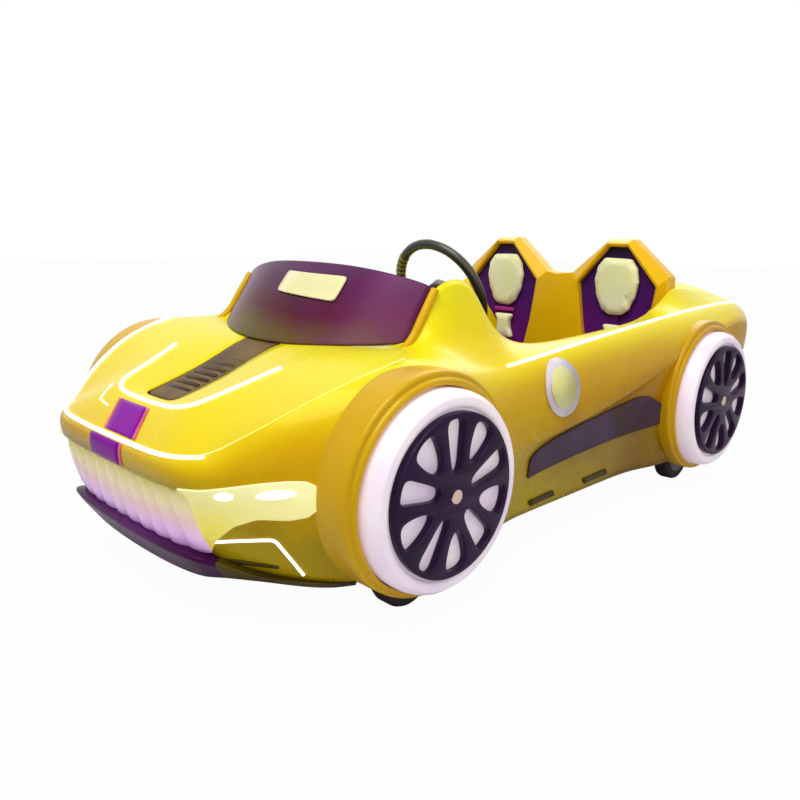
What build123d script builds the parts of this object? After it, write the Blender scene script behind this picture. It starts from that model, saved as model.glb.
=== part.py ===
from build123d import *
from math import atan2, cos, radians, sin
import os

# Kiddie car ride: a low two-seat battery car with lit display wheels.
# Millimetres. The front of the car is -Y, its left side is +X, the floor is Z = 0,
# and the origin lies on the floor under the middle of the wheelbase.

# Driving dimensions of the body
WHEELBASE = 1150.0
COCKPIT_HALF_WIDTH = 385.0
NOSE_OVERHANG = 390.0
TAIL_OVERHANG = 390.0
NOSE_FACE_DEPTH = 35.0
TAIL_FACE_DEPTH = 10.0
COCKPIT_BEHIND_AXLE = 335.0
DOOR_BEFORE_AXLE = 213.0
SEAT_WALL_BEFORE_AXLE = 15.0
SEAT_WALL_DEPTH = 62.0
WALL = 10.0
PANEL_GAP = 0.6
SEAT_FIT = 0.3
FRONT_WHEEL_Y = -WHEELBASE / 2
REAR_WHEEL_Y = WHEELBASE / 2
NOSE_Y = FRONT_WHEEL_Y - NOSE_OVERHANG
NOSE_FACE_Y = NOSE_Y + NOSE_FACE_DEPTH
TAIL_Y = REAR_WHEEL_Y + TAIL_OVERHANG
TAIL_FACE_Y = TAIL_Y - TAIL_FACE_DEPTH
COCKPIT_FRONT_Y = FRONT_WHEEL_Y + COCKPIT_BEHIND_AXLE
DOOR_REAR_Y = REAR_WHEEL_Y - DOOR_BEFORE_AXLE
DOOR_LENGTH = DOOR_REAR_Y - COCKPIT_FRONT_Y
SEAT_WALL_FRONT_Y = REAR_WHEEL_Y - SEAT_WALL_BEFORE_AXLE
SEAT_WALL_REAR_Y = SEAT_WALL_FRONT_Y + SEAT_WALL_DEPTH

# Driving dimensions of the display wheels
COVER_CENTRE_Z = 260.0
COVER_RADIUS = 192.0
COVER_BACK_X = COCKPIT_HALF_WIDTH + 110.0
COVER_SHOULDER_X = COVER_BACK_X + 40.0
COVER_FACE_X = COVER_BACK_X + 71.0
COVER_FACE_RADIUS = 166.0
COVER_DISH_RADIUS = 160.0
COVER_DISH_X = COVER_BACK_X + 55.0
COVER_WALL = 10.0
FLARE_RADIUS = 212.5
FLARE_LIFT = 12.5
FLARE_OUTER_X = COVER_BACK_X + 27.0
FLARE_INNER_X = COVER_BACK_X - 11.0
FLARE_ROOT_X = COVER_BACK_X - 95.0
WHEEL_SPACE_TOP_Z = 170.0
WHEEL_WELL_REACH = 88.0
SPOKE_FACE_X = COVER_DISH_X + 25.0
SPOKE_RIM_RADIUS = 158.0
SPOKE_RIM_WIDTH = 21.0
SPOKE_HUB_RADIUS = 26.0
SPOKE_WIDTH = 19.0
SPOKE_PAIRS = 5
SPOKE_HALF_ANGLE = 13.0
SPOKE_DROP = 3.0

# Driving dimensions of the small road wheels and their carriers
TYRE_RADIUS = 72.5
TYRE_WIDTH = 45.0
TYRE_EDGE = 7.0
HUB_RADIUS = 50.0
HUB_WIDTH = 49.0
HUB_WASHER_RADIUS = 16.0
ROAD_WHEEL_X = COCKPIT_HALF_WIDTH + 50.0
STUB_RADIUS = 8.0
STUB_HEAD_RADIUS = 13.0
STUB_HEAD_LENGTH = 4.0
RUNNING_FIT = 0.05
SIDE_PLAY = 0.5
KING_PIN_X = ROAD_WHEEL_X - 75.0
KING_PIN_RADIUS = 8.0
KNUCKLE_RADIUS = 16.0
KNUCKLE_BOTTOM_Z = 50.0
KNUCKLE_HEIGHT = 45.0
STEER_ARM_LENGTH = 60.0
STEER_ARM_WIDTH = 18.0
STEER_ARM_THICKNESS = 8.0
TIE_PIN_RADIUS = 4.0
TIE_ROD_RADIUS = 6.0
TIE_EYE_RADIUS = 10.0
TIE_EYE_HEIGHT = 12.0
TIE_CAP_RADIUS = 7.0
TIE_CAP_HEIGHT = 2.5
ARM_TOP_Z = 79.0
AXLE_BEAM_SIZE = 28.0
REAR_AXLE_RADIUS = 15.0

# Driving dimensions of the chassis frame and floor
RAIL_SHARE = 4 / 11
RAIL_X = COCKPIT_HALF_WIDTH * RAIL_SHARE
RAIL_WIDTH = 40.0
RAIL_HEIGHT = 30.0
RAIL_BOTTOM_Z = 98.0
RAIL_TOP_Z = RAIL_BOTTOM_Z + RAIL_HEIGHT
RAIL_REAR_Y = REAR_WHEEL_Y + 255.0
CROSS_DEPTH = 40.0
CROSS_FRONT_Y = FRONT_WHEEL_Y + 55.0
CROSS_WIDE_Y = (FRONT_WHEEL_Y + 245.0, REAR_WHEEL_Y - 285.0)
CROSS_NARROW_Y = (REAR_WHEEL_Y + 65.0, RAIL_REAR_Y - CROSS_DEPTH)
AXLE_HANGER_X = 120.0
AXLE_HANGER_WIDTH = 40.0
HANGER_BOTTOM_Z = 62.0
TOW_WIDTH = 60.0
TOW_LENGTH = 55.0
TOW_BOTTOM_Z = 106.0
TOW_THICKNESS = 10.0
TOW_HOLE_FROM_END = 25.0
TOW_HOLE_RADIUS = 8.0
FLOOR_THICKNESS = 8.0
FLOOR_BOTTOM_Z = RAIL_TOP_Z + SEAT_FIT
FLOOR_TOP_Z = FLOOR_BOTTOM_Z + FLOOR_THICKNESS
BULKHEAD_Y = FRONT_WHEEL_Y + 175.0
BULKHEAD_TOP_Z = 466.0
FLOOR_REAR_Y = SEAT_WALL_REAR_Y + 18.0
WHEEL_SHOULDER_X = ROAD_WHEEL_X - HUB_WIDTH / 2 - SIDE_PLAY

# Driving dimensions of the seats; the shares are of the cockpit's half width
SEAT_SHARE = 0.553
SEAT_X = COCKPIT_HALF_WIDTH * SEAT_SHARE
HUMP_TOP_Z = 703.0
HUMP_TOP_SHARE = 0.24
HUMP_EDGE = 9.0
HUMP_HALF_WIDTH = COCKPIT_HALF_WIDTH - SEAT_X - HUMP_EDGE
HUMP_TOP_HALF_WIDTH = HUMP_HALF_WIDTH * HUMP_TOP_SHARE
HUMP_SHOULDER_Z = HUMP_TOP_Z - 107.0
SADDLE_Z = HUMP_TOP_Z - 113.0
POCKET_DEPTH = 30.0
LINER_THICKNESS = 10.0
SEAT_PAN_TOP_Z = 240.0
SEAT_PAN_LENGTH = 260.0
SEAT_PAN_FRONT_Y = SEAT_WALL_FRONT_Y - SEAT_PAN_LENGTH
SEAT_PAN_SHARE = 0.92
SEAT_PAN_HALF_WIDTH = HUMP_HALF_WIDTH * SEAT_PAN_SHARE
BOLSTER_WIDTH = 30.0
BOLSTER_RISE = 90.0
BOLSTER_SETBACK = 20.0
CUSHION_HEIGHT = 50.0
CUSHION_ROUND = 15.0
PAD_THICKNESS = 22.0
BACK_PAD_SHARE = 0.48
BACK_PAD_HALF_WIDTH = HUMP_HALF_WIDTH * BACK_PAD_SHARE
BACK_PAD_DROP = 143.0
BACK_PAD_Z = HUMP_TOP_Z - BACK_PAD_DROP
BACK_PAD_HALF_HEIGHT = 92.0
LOWER_PAD_Z = 401.0
LOWER_PAD_SHARE = 0.27
LOWER_PAD_HALF_WIDTH = HUMP_HALF_WIDTH * LOWER_PAD_SHARE
LOWER_PAD_WAIST = LOWER_PAD_HALF_WIDTH - 10.0
LOWER_PAD_HALF_HEIGHT = 46.0
POCKET = [
    # share of the hump's half width, z
    (0.20, HUMP_TOP_Z - 23.0),
    (0.81, HUMP_TOP_Z - 137.0),
    (0.69, 430.0),
    (0.52, 320.0),
    (0.52, 200.0),
]

# Driving dimensions of the steering wheel and its shaft
STEERING_X = -SEAT_X + 8.0
STEERING_BEHIND_AXLE = 802.0
STEERING_Y = FRONT_WHEEL_Y + STEERING_BEHIND_AXLE
STEERING_Z = 530.0
STEERING_TILT = 23.5
STEERING_SHARE = 0.4286
STEERING_RING_RADIUS = COCKPIT_HALF_WIDTH * STEERING_SHARE
STEERING_TUBE_RADIUS = 15.0
STEERING_HUB_RADIUS = 42.0
STEERING_HUB_DEPTH = 36.0
STEERING_BAND_HALF = 24.0
STEERING_STEM_HALF = 26.0
STEERING_SPOKE_THICKNESS = 16.0
SHAFT_RADIUS = 9.0
COLUMN_RADIUS = 17.0
COLUMN_REAR_Y = COCKPIT_FRONT_Y + 15.0
COLUMN_FRONT_Y = BULKHEAD_Y - 20.0
CRANK_LENGTH = 45.0
CRANK_THICKNESS = 8.0
CRANK_WIDTH = 12.0
CRANK_PIN_RADIUS = 5.0
CRANK_PIN_LENGTH = 26.0
CRANK_PIN_GRIP = 0.58
FORK_CLEARANCE = 2.0
FORK_TINE = 5.0
FORK_DEPTH = 22.0
FORK_OVER_PIN = 10.0
SHAFT_END_Y = FRONT_WHEEL_Y + STEER_ARM_LENGTH - CRANK_THICKNESS
SHAFT_LENGTH = (STEERING_Y - SHAFT_END_Y) / cos(radians(STEERING_TILT))

# Driving dimensions of the cowl and windscreen
COWL_BASE_Z = 500.0
COWL_FOOT_Z = 455.0
COWL_TOP_Z = 612.0
COWL_BOTTOM_HALF_WIDTH = COCKPIT_HALF_WIDTH - 1.0
COWL_TOP_HALF_WIDTH = COCKPIT_HALF_WIDTH - 49.0
COWL_SIDE_THICKNESS = 18.0
COWL_INNER_HALF_WIDTH = COWL_TOP_HALF_WIDTH - COWL_SIDE_THICKNESS
COWL_BASE_REAR_Y = COCKPIT_FRONT_Y - 8.0
COWL_TOP_REAR_Y = COCKPIT_FRONT_Y - 40.0
COWL_WALL = 20.0
SCREEN_THICKNESS = 5.0
SCREEN_EDGE = 7.0
SCREEN_HALF_WIDTH = COWL_TOP_HALF_WIDTH - SCREEN_EDGE
SCREEN_BASE_SIDE_Y = FRONT_WHEEL_Y + 113.0
SCREEN_BASE_MIDDLE_Y = FRONT_WHEEL_Y - 5.0
SCREEN_TOP_SIDE_Y = FRONT_WHEEL_Y + 188.0
SCREEN_TOP_MIDDLE_Y = FRONT_WHEEL_Y + 115.0
SCREEN_TOP_SIDE_Z = COWL_TOP_Z
SCREEN_TOP_MIDDLE_Z = COWL_TOP_Z + 33.0
SCREEN_LOFT_TOP_Z = SCREEN_TOP_MIDDLE_Z + 10.0
DASH_TOP_FRONT_Y = SCREEN_TOP_SIDE_Y + 3.0
DASH_SIDE_GAP = 13.0
DASH_HALF_WIDTH = COCKPIT_HALF_WIDTH - DASH_SIDE_GAP
DASH_BOTTOM_Z = 400.0

# Driving dimensions of lamps, grille and light strips
STRIP_WIDTH = 9.0
STRIP_HEIGHT = 6.0
CREST_SEAT = 2.2
LIP_BOTTOM_Z = 276.0
LIP_TOP_Z = 331.0
FRONT_SILL_Z = 102.0
CHIN_Z = 140.0
TAIL_SILL_Z = 230.0
BUMPER_HEIGHT = 50.0
BUMPER_BELOW_TAIL = 20.0
BUMPER_TOP_Z = TAIL_SILL_Z - BUMPER_BELOW_TAIL
BUMPER_DEPTH = 20.0
BUMPER_HALF_WIDTH = COCKPIT_HALF_WIDTH - 5.0
LENS_THICKNESS = 4.0
GRILLE_INSET = 130.0
GRILLE_HALF_WIDTH = COCKPIT_HALF_WIDTH - GRILLE_INSET
GRILLE_RIBS = 14
GRILLE_RIB_WIDTH = 14.0
GRILLE_RIB_DEPTH = 12.0
GRILLE_BACK_THICKNESS = 6.0
GRILLE_BOW = 11.0
SPLITTER_BOTTOM_Z = 88.0
SPLITTER_REACH = 5.0
MOTOR_SIZE = (150.0, 120.0, 110.0)
BATTERY_SIZE = (200.0, 130.0, 165.0)
MOTOR_X = 20.0
BATTERY_X = -230.0
POWER_Y = SEAT_WALL_REAR_Y + 23.0
TAIL_LAMP_INSET = 25.0
TAIL_LAMP_HALF_WIDTH = COCKPIT_HALF_WIDTH - TAIL_LAMP_INSET
TAIL_LAMP_BOTTOM_Z = 400.0
TAIL_LAMP_HEIGHT = 28.0
HOLLOW_BOTTOM_Z = -60.0

# Outlines in plan. Each x is counted outwards from the cockpit's side, and each y from
# the front wheels' axis.
LIP_PLAN = [(-260, -386), (-150, -371), (-96, -325), (-96, -305)]
GRILLE_PLAN = [(-260, -364), (-163, -352), (-130, -338)]
SPLITTER_OUTER = [(-235, -377), (-123, -342), (11, -265), (81, -207), (89, -145)]
SPLITTER_INNER = [(45, -145), (39, -195), (-15, -235), (-145, -310), (-235, -337)]
CHIN_BACK = [(-63, -305), (-85, -298), (-145, -315), (-235, -340)]
HEADLIGHT_FRONT = -342.0
HEADLIGHT = [
    # y from the front wheels' axis, z
    (HEADLIGHT_FRONT, LIP_BOTTOM_Z - SEAT_FIT),
    (-301.0, LIP_BOTTOM_Z - SEAT_FIT),
    (-219.0, 299.0),
    (-181.0, 256.0),
    (-179.0, 226.0),
    (-254.0, 224.0),
    (-319.0, 184.0),
    (HEADLIGHT_FRONT, 160.0),
]
NOSE_STRIP = [
    # x from the cockpit's side, y from the nose
    (-263, 14),
    (-163, 27),
]

# Outer sections of the body, left half, front to rear. Each is six corners, x then z:
# inner deck, rim of the deck, crest, belt, flank and sill. Every x is counted outwards
# from the cockpit's side.
SECTIONS = {
    # name: y, inner x, z, rim x, z, crest x, z, belt x, z, flank x, z, sill x, z
    "nose": (NOSE_FACE_Y, -305, 333, -261, 334, -160, LIP_TOP_Z, -170, 300, -176, 200, -178, CHIN_Z),
    "nose_edge": (FRONT_WHEEL_Y - 325, -305, 360, -259, 362, -96, 341, -85, 300, -96, 200, -106, CHIN_Z),
    "hood_front": (FRONT_WHEEL_Y - 297, -297, 384, -255, 392, -75, 358, -40, 300, -48, 200, -58, CHIN_Z),
    "lamp_front": (FRONT_WHEEL_Y - 255, -255, 386, -220, 407, -51, 383, 15, 300, 13, 200, 3, FRONT_SILL_Z),
    "lamp_rear": (FRONT_WHEEL_Y - 200, -240, 405, -204, 427, -27, 417, 65, 310, 83, 200, 73, FRONT_SILL_Z),
    "arch_front": (FRONT_WHEEL_Y - 115, -215, 438, -179, 458, -4, 461, 105, 400, 120, 230, 95, FRONT_SILL_Z),
    "front_wheel": (FRONT_WHEEL_Y, -145, 482, -109, 490, 11, 499, 123, 440, 133, 260, 115, FRONT_SILL_Z),
    "cowl_foot": (FRONT_WHEEL_Y + 135, -85, 500, -45, 501, 15, 500, 120, 430, 130, 260, 110, 96),
    "cowl_side": (FRONT_WHEEL_Y + 225, -85, 500, -35, 500, 40, 470, 107, 400, 107, 250, 77, 94),
    "cockpit_front": (COCKPIT_FRONT_Y, -85, 500, 0, 470, 63, 448, 103, 380, 93, 240, 65, 92),
    "door_front": (COCKPIT_FRONT_Y + DOOR_LENGTH * 0.365, -85, 500, 0, 466, 65, 465, 105, 385, 89, 240, 65, 90),
    "door_mid": (COCKPIT_FRONT_Y + DOOR_LENGTH * 0.731, -85, 500, 0, 474, 65, 483, 109, 400, 93, 250, 67, 90),
    "door_rear": (DOOR_REAR_Y, -85, 500, 0, 482, 65, 496, 120, 430, 115, 255, 85, 90),
    "rear_wheel": (REAR_WHEEL_Y, -115, 588, 0, 560, 67, 508, 130, 450, 135, 260, 120, 96),
    "rear_fender": (REAR_WHEEL_Y + 215, -135, 584, 0, 540, 70, 516, 123, 460, 131, 260, 105, 110),
    "tail_edge": (REAR_WHEEL_Y + 350, -155, 570, 0, 525, 67, 500, 95, 440, 93, 300, 65, 170),
    "tail": (TAIL_FACE_Y, -185, 530, -35, 490, 25, 470, 45, 430, 45, 320, 25, TAIL_SILL_Z),
}


def face_of(points):
    """A flat face through points given in space."""
    return make_face(Polyline(*points, close=True))


def slab_x(profile, x_from, x_to):
    """A Y, Z profile extruded along X."""
    return extrude(face_of([(x_from, y, z) for y, z in profile]), x_to - x_from, dir=(1, 0, 0))


def slab_y(profile, y_from, y_to):
    """An X, Z profile extruded along Y."""
    return extrude(face_of([(x, y_from, z) for x, z in profile]), y_to - y_from, dir=(0, 1, 0))


def slab_z(profile, z_from, z_to):
    """An X, Y profile extruded along Z."""
    return extrude(face_of([(x, y, z_from) for x, y in profile]), z_to - z_from, dir=(0, 0, 1))


def block(x_range, y_range, z_range):
    """A box between three pairs of limits."""
    low = Vector(x_range[0], y_range[0], z_range[0])
    size = Vector(x_range[1], y_range[1], z_range[1]) - low
    corner = (Align.MIN, Align.MIN, Align.MIN)
    return Pos(low.X, low.Y, low.Z) * Box(size.X, size.Y, size.Z, align=corner)


def rod(start, end, radius):
    """A round bar from one point to another."""
    line = Vector(*end) - Vector(*start)
    seat = Plane(origin=start, z_dir=line)
    return seat * Cylinder(radius, line.length, align=(Align.CENTER, Align.CENTER, Align.MIN))


def mirrored(profile):
    """A left half profile, top to bottom, closed by its right half."""
    return profile + [(-a, b) for a, b in reversed(profile)]


def both_sides(shape):
    """A piece of the left side and its twin on the right."""
    return Compound(children=[shape, mirror(shape, about=Plane.YZ)])


def section_corners(row):
    """The six corners, x and z, of one row of SECTIONS."""
    return [(COCKPIT_HALF_WIDTH + row[i], row[i + 1]) for i in range(1, 13, 2)]


def inset(profile, distance):
    """A closed profile, clockwise seen from the front, moved inwards."""
    moved = []
    count = len(profile)
    for i in range(count):
        before, here, after = profile[i - 1], profile[i], profile[(i + 1) % count]
        first = atan2(here[1] - before[1], here[0] - before[0])
        second = atan2(after[1] - here[1], after[0] - here[0])
        middle = (first + second) / 2
        if cos(first - middle) < 0:
            middle += radians(180)
        reach = distance / cos(first - middle)
        moved.append((here[0] + reach * sin(middle), here[1] - reach * cos(middle)))
    return moved


def lofted(rings):
    """A ruled solid through closed rings of points with equal counts."""
    wires = [Polyline(*ring, close=True).wire() for ring in rings]
    return Solid.make_loft(wires, ruled=True)


def in_space(profile, y):
    """An X, Z profile placed at one Y."""
    return [(x, y, z) for x, z in profile]


def rows_between(front, rear):
    """The rows of SECTIONS from one name to another."""
    names = list(SECTIONS)
    return [SECTIONS[name] for name in names[names.index(front) : names.index(rear) + 1]]


def on_plan(outline):
    """A plan outline placed beside the cockpit's side and the front wheels' axis."""
    return [(COCKPIT_HALF_WIDTH + x, FRONT_WHEEL_Y + y) for x, y in outline]


def across(front, outline, rear=()):
    """A closed plan over both sides, through middle points in front and at the rear."""
    return [front] + outline + list(rear) + [(-x, y) for x, y in reversed(outline)]


def outer_body(front, rear):
    """The solid body between two stations."""
    rings = [in_space(mirrored(section_corners(row)), row[0]) for row in rows_between(front, rear)]
    return lofted(rings)


def inner_body(front, rear, front_shift, rear_shift):
    """The hollow inside the body between two stations, open at the bottom."""
    rows = rows_between(front, rear)
    shifts = {0: front_shift, len(rows) - 1: rear_shift}
    rings = []
    for i, row in enumerate(rows):
        corners = section_corners(row)
        corners[-1] = (corners[-1][0], HOLLOW_BOTTOM_Z)
        rings.append(in_space(inset(mirrored(corners), WALL), row[0] + shifts.get(i, 0.0)))
    return lofted(rings)


def arch_tube(wheel_y, radius, x_from, x_to):
    """A cylinder across the car on a display wheel's centre, left side."""
    return rod((x_from, wheel_y, COVER_CENTRE_Z), (x_to, wheel_y, COVER_CENTRE_Z), radius)


def with_arches(shell, wheel_y):
    """A shell with a flared lip and a round opening on each side."""
    hole_radius = COVER_RADIUS + SEAT_FIT
    flare = Pos(0, 0, FLARE_LIFT) * arch_tube(wheel_y, FLARE_RADIUS, FLARE_ROOT_X, FLARE_OUTER_X)
    flare = flare - arch_tube(wheel_y, hole_radius, FLARE_ROOT_X - WALL, FLARE_OUTER_X + WALL)
    reach = FLARE_RADIUS + WALL
    wheel_space = block(
        (FLARE_ROOT_X - WALL, FLARE_INNER_X),
        (wheel_y - reach, wheel_y + reach),
        (HOLLOW_BOTTOM_Z, WHEEL_SPACE_TOP_Z),
    )
    flare = flare - wheel_space
    hole = arch_tube(wheel_y, hole_radius, FLARE_INNER_X - WALL, FLARE_OUTER_X + WALL)
    shell = shell + flare + mirror(flare, about=Plane.YZ)
    return shell - hole - mirror(hole, about=Plane.YZ)


def nose_lip():
    """The overhanging lip that closes the nose over the grille."""
    return slab_z(across((0, NOSE_Y), on_plan(LIP_PLAN)), LIP_BOTTOM_Z, LIP_TOP_Z)


def front_shell():
    """Nose, recessed hood and front fenders."""
    shell = outer_body("nose", "cockpit_front")
    shell = shell - inner_body("nose", "cockpit_front", WALL, WALL)
    mouth = block(
        (-GRILLE_HALF_WIDTH, GRILLE_HALF_WIDTH),
        (NOSE_Y, FRONT_WHEEL_Y + LIP_PLAN[-1][1]),
        (CHIN_Z - WALL, LIP_BOTTOM_Z),
    )
    return with_arches((shell - mouth) + nose_lip(), FRONT_WHEEL_Y)


def side_shell():
    """Left door and sill, as thick as the whole wall."""
    rings = []
    for row in rows_between("cockpit_front", "door_rear"):
        corners = section_corners(row)[1:]
        corners.append((COCKPIT_HALF_WIDTH, corners[-1][1]))
        rings.append(in_space(corners, row[0]))
    reach = (COCKPIT_FRONT_Y + PANEL_GAP, DOOR_REAR_Y - PANEL_GAP)
    return lofted(rings) & block((0, FLARE_OUTER_X), reach, (0, HUMP_TOP_Z))


def rear_shell():
    """Rear fenders, arched tail deck and tail panel."""
    shell = outer_body("door_rear", "tail")
    shell = shell - inner_body("rear_wheel", "tail", -WALL, -WALL)
    inner = COCKPIT_HALF_WIDTH + SEAT_FIT
    cabin = block(
        (-inner, inner),
        (DOOR_REAR_Y - WALL, SEAT_WALL_REAR_Y + SEAT_FIT),
        (HOLLOW_BOTTOM_Z, HUMP_TOP_Z),
    )
    shell = shell - cabin
    well = block(
        (inner + WALL, FLARE_INNER_X),
        (REAR_WHEEL_Y - WHEEL_WELL_REACH, REAR_WHEEL_Y + WHEEL_WELL_REACH),
        (HOLLOW_BOTTOM_Z, WHEEL_SPACE_TOP_Z),
    )
    shell = shell - well - mirror(well, about=Plane.YZ)
    return with_arches(shell, REAR_WHEEL_Y)


def surface_lens(front, rear, outline, x_from, x_to):
    """A thin lens that lies on the body inside a Y, Z outline."""
    layers = []
    for lift in (LENS_THICKNESS + SEAT_FIT, SEAT_FIT):
        rows = rows_between(front, rear)
        rings = [in_space(inset(mirrored(section_corners(row)), -lift), row[0]) for row in rows]
        layers.append(lofted(rings))
    return (layers[0] - layers[1]) & slab_x(outline, x_from, x_to)


def headlight():
    """Left corner lamp, which wraps from the grille to the arch."""
    outline = [(FRONT_WHEEL_Y + y, z) for y, z in HEADLIGHT]
    lens = surface_lens("nose", "arch_front", outline, GRILLE_HALF_WIDTH + SEAT_FIT, FLARE_OUTER_X)
    flare = arch_tube(FRONT_WHEEL_Y, FLARE_RADIUS + SEAT_FIT, FLARE_ROOT_X, FLARE_OUTER_X)
    return lens - Pos(0, 0, FLARE_LIFT) * flare


def cowl_half_width(z):
    """The cowl's half width at a height."""
    share = (COWL_TOP_Z - z) / (COWL_TOP_Z - COWL_BASE_Z)
    return COWL_TOP_HALF_WIDTH + share * (COWL_BOTTOM_HALF_WIDTH - COWL_TOP_HALF_WIDTH)


def between(z, low_value, high_value):
    """A value that runs straight from the screen's base to its side top."""
    share = (z - COWL_BASE_Z) / (COWL_TOP_Z - COWL_BASE_Z)
    return low_value + share * (high_value - low_value)


def cowl():
    """Raised housing behind the windscreen: two flanks and a rear panel."""
    gap = SCREEN_THICKNESS + SEAT_FIT
    rings = []
    for z in (COWL_FOOT_Z, COWL_TOP_Z):
        front = between(z, SCREEN_BASE_SIDE_Y, SCREEN_TOP_SIDE_Y) + gap
        rear = between(z, COWL_BASE_REAR_Y, COWL_TOP_REAR_Y)
        half = cowl_half_width(z)
        rings.append([(half, front, z), (half, rear, z), (-half, rear, z), (-half, front, z)])
    inside = block(
        (-COWL_INNER_HALF_WIDTH, COWL_INNER_HALF_WIDTH),
        (NOSE_Y, COWL_TOP_REAR_Y - COWL_WALL),
        (COWL_FOOT_Z, SCREEN_LOFT_TOP_Z),
    )
    seat = Pos(0, 0, SEAT_FIT) * outer_body("arch_front", "door_front")
    return lofted(rings) - inside - seat


def crescent(z, side_y, middle_y):
    """A bowed strip in plan, as thick as the screen."""
    half = SCREEN_HALF_WIDTH
    back = SCREEN_THICKNESS
    front_arc = ThreePointArc((-half, side_y, z), (0, middle_y, z), (half, side_y, z))
    rear_arc = ThreePointArc((half, side_y + back, z), (0, middle_y + back, z), (-half, side_y + back, z))
    edges = [
        front_arc,
        Line(front_arc @ 1, rear_arc @ 0),
        rear_arc,
        Line(rear_arc @ 1, front_arc @ 0),
    ]
    return Wire(edges)


def middle_line(z):
    """The Y of the screen's middle at a height."""
    share = (z - COWL_BASE_Z) / (SCREEN_TOP_MIDDLE_Z - COWL_BASE_Z)
    return SCREEN_BASE_MIDDLE_Y + share * (SCREEN_TOP_MIDDLE_Y - SCREEN_BASE_MIDDLE_Y)


def windscreen():
    """Bowed screen with an arched top edge, standing on the hood."""
    wires = []
    for z in (COWL_FOOT_Z, SCREEN_LOFT_TOP_Z):
        wires.append(crescent(z, between(z, SCREEN_BASE_SIDE_Y, SCREEN_TOP_SIDE_Y), middle_line(z)))
    screen = Solid.make_loft(wires, ruled=True)
    half = SCREEN_HALF_WIDTH + WALL
    front = NOSE_FACE_Y
    arch = ThreePointArc(
        (-half, front, SCREEN_TOP_SIDE_Z), (0, front, SCREEN_TOP_MIDDLE_Z), (half, front, SCREEN_TOP_SIDE_Z)
    )
    sides = Polyline(arch @ 1, (half, front, COWL_FOOT_Z), (-half, front, COWL_FOOT_Z), arch @ 0)
    below = extrude(make_face([arch, sides]), COCKPIT_FRONT_Y - front, dir=(0, 1, 0))
    seat = Pos(0, 0, SEAT_FIT) * outer_body("arch_front", "cockpit_front")
    return (screen & below) - seat


def dash_top():
    """Dark shelf between the windscreen and the cowl's rear panel."""
    half = COWL_INNER_HALF_WIDTH - SEAT_FIT
    rear = COWL_TOP_REAR_Y - COWL_WALL - SEAT_FIT
    top = COWL_TOP_Z - WALL
    return block((-half, half), (DASH_TOP_FRONT_Y, rear), (top - WALL, top))


def dash_panel():
    """Dark panel that hangs under the rear edge of the hood."""
    row = SECTIONS["cockpit_front"]
    under = inset(mirrored(section_corners(row)), WALL + SEAT_FIT)[:2]
    side = (DASH_HALF_WIDTH, under[1][1])
    profile = mirrored([under[0], side, (DASH_HALF_WIDTH, DASH_BOTTOM_Z)])
    rear = COCKPIT_FRONT_Y - WALL
    return slab_y(profile, rear - WALL, rear)


def hump_profile():
    """Left half of the seat wall's outline, from the saddle down to the floor."""
    half = COCKPIT_HALF_WIDTH - SEAT_FIT
    return [
        (0, SADDLE_Z),
        (SEAT_X - HUMP_HALF_WIDTH, SADDLE_Z),
        (SEAT_X - HUMP_TOP_HALF_WIDTH, HUMP_TOP_Z),
        (SEAT_X + HUMP_TOP_HALF_WIDTH, HUMP_TOP_Z),
        (SEAT_X + HUMP_HALF_WIDTH, HUMP_SHOULDER_Z),
        (half, HUMP_SHOULDER_Z - HUMP_EDGE),
        (half, FLOOR_TOP_Z + SEAT_FIT),
    ]


def pocket_profile(side, inset_by):
    """The pocket in one hump; side is 1 for left and -1 for right."""
    corners = []
    for share, z in POCKET:
        corners.append((share * HUMP_HALF_WIDTH - inset_by, z))
    corners[0] = (corners[0][0], corners[0][1] - inset_by)
    corners[-1] = (corners[-1][0], corners[-1][1] + inset_by)
    ring = corners + [(-x, z) for x, z in reversed(corners)]
    return [(side * SEAT_X + x, z) for x, z in ring]


def seat_wall():
    """Wall behind the seats with two six-sided head humps and their pockets."""
    wall = slab_y(mirrored(hump_profile()), SEAT_WALL_FRONT_Y, SEAT_WALL_REAR_Y)
    for side in (1, -1):
        wall = wall - slab_y(pocket_profile(side, 0), SEAT_WALL_FRONT_Y, SEAT_WALL_FRONT_Y + POCKET_DEPTH)
    return wall


def seat(side):
    """Liner in the pocket, lower back, pan and side bolsters of one seat."""
    floor_z = FLOOR_TOP_Z + SEAT_FIT
    centre = side * SEAT_X
    rear = SEAT_WALL_FRONT_Y - SEAT_FIT
    liner_rear = SEAT_WALL_FRONT_Y + POCKET_DEPTH - SEAT_FIT
    liner = slab_y(pocket_profile(side, SEAT_FIT), liner_rear - LINER_THICKNESS, liner_rear)
    pan = block(
        (centre - SEAT_PAN_HALF_WIDTH, centre + SEAT_PAN_HALF_WIDTH),
        (SEAT_PAN_FRONT_Y, rear),
        (floor_z, SEAT_PAN_TOP_Z),
    )
    foot = POCKET[-1][0] * HUMP_HALF_WIDTH - SEAT_FIT
    heel = block(
        (centre - foot, centre + foot),
        (rear - LINER_THICKNESS, liner_rear),
        (POCKET[-1][1] + SEAT_FIT, SEAT_PAN_TOP_Z + CUSHION_HEIGHT),
    )
    body = pan + heel + liner
    for edge in (-1, 1):
        outer = centre + edge * SEAT_PAN_HALF_WIDTH
        inner = outer - edge * BOLSTER_WIDTH
        limits = (min(outer, inner), max(outer, inner))
        front = SEAT_PAN_FRONT_Y + BOLSTER_SETBACK
        top = SEAT_PAN_TOP_Z + BOLSTER_RISE
        profile = [
            (front, SEAT_PAN_TOP_Z - WALL),
            (front + BOLSTER_WIDTH, top - BOLSTER_WIDTH),
            (rear, top),
            (rear, SEAT_PAN_TOP_Z - WALL),
        ]
        body = body + slab_x(profile, *limits)
    return body


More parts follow.
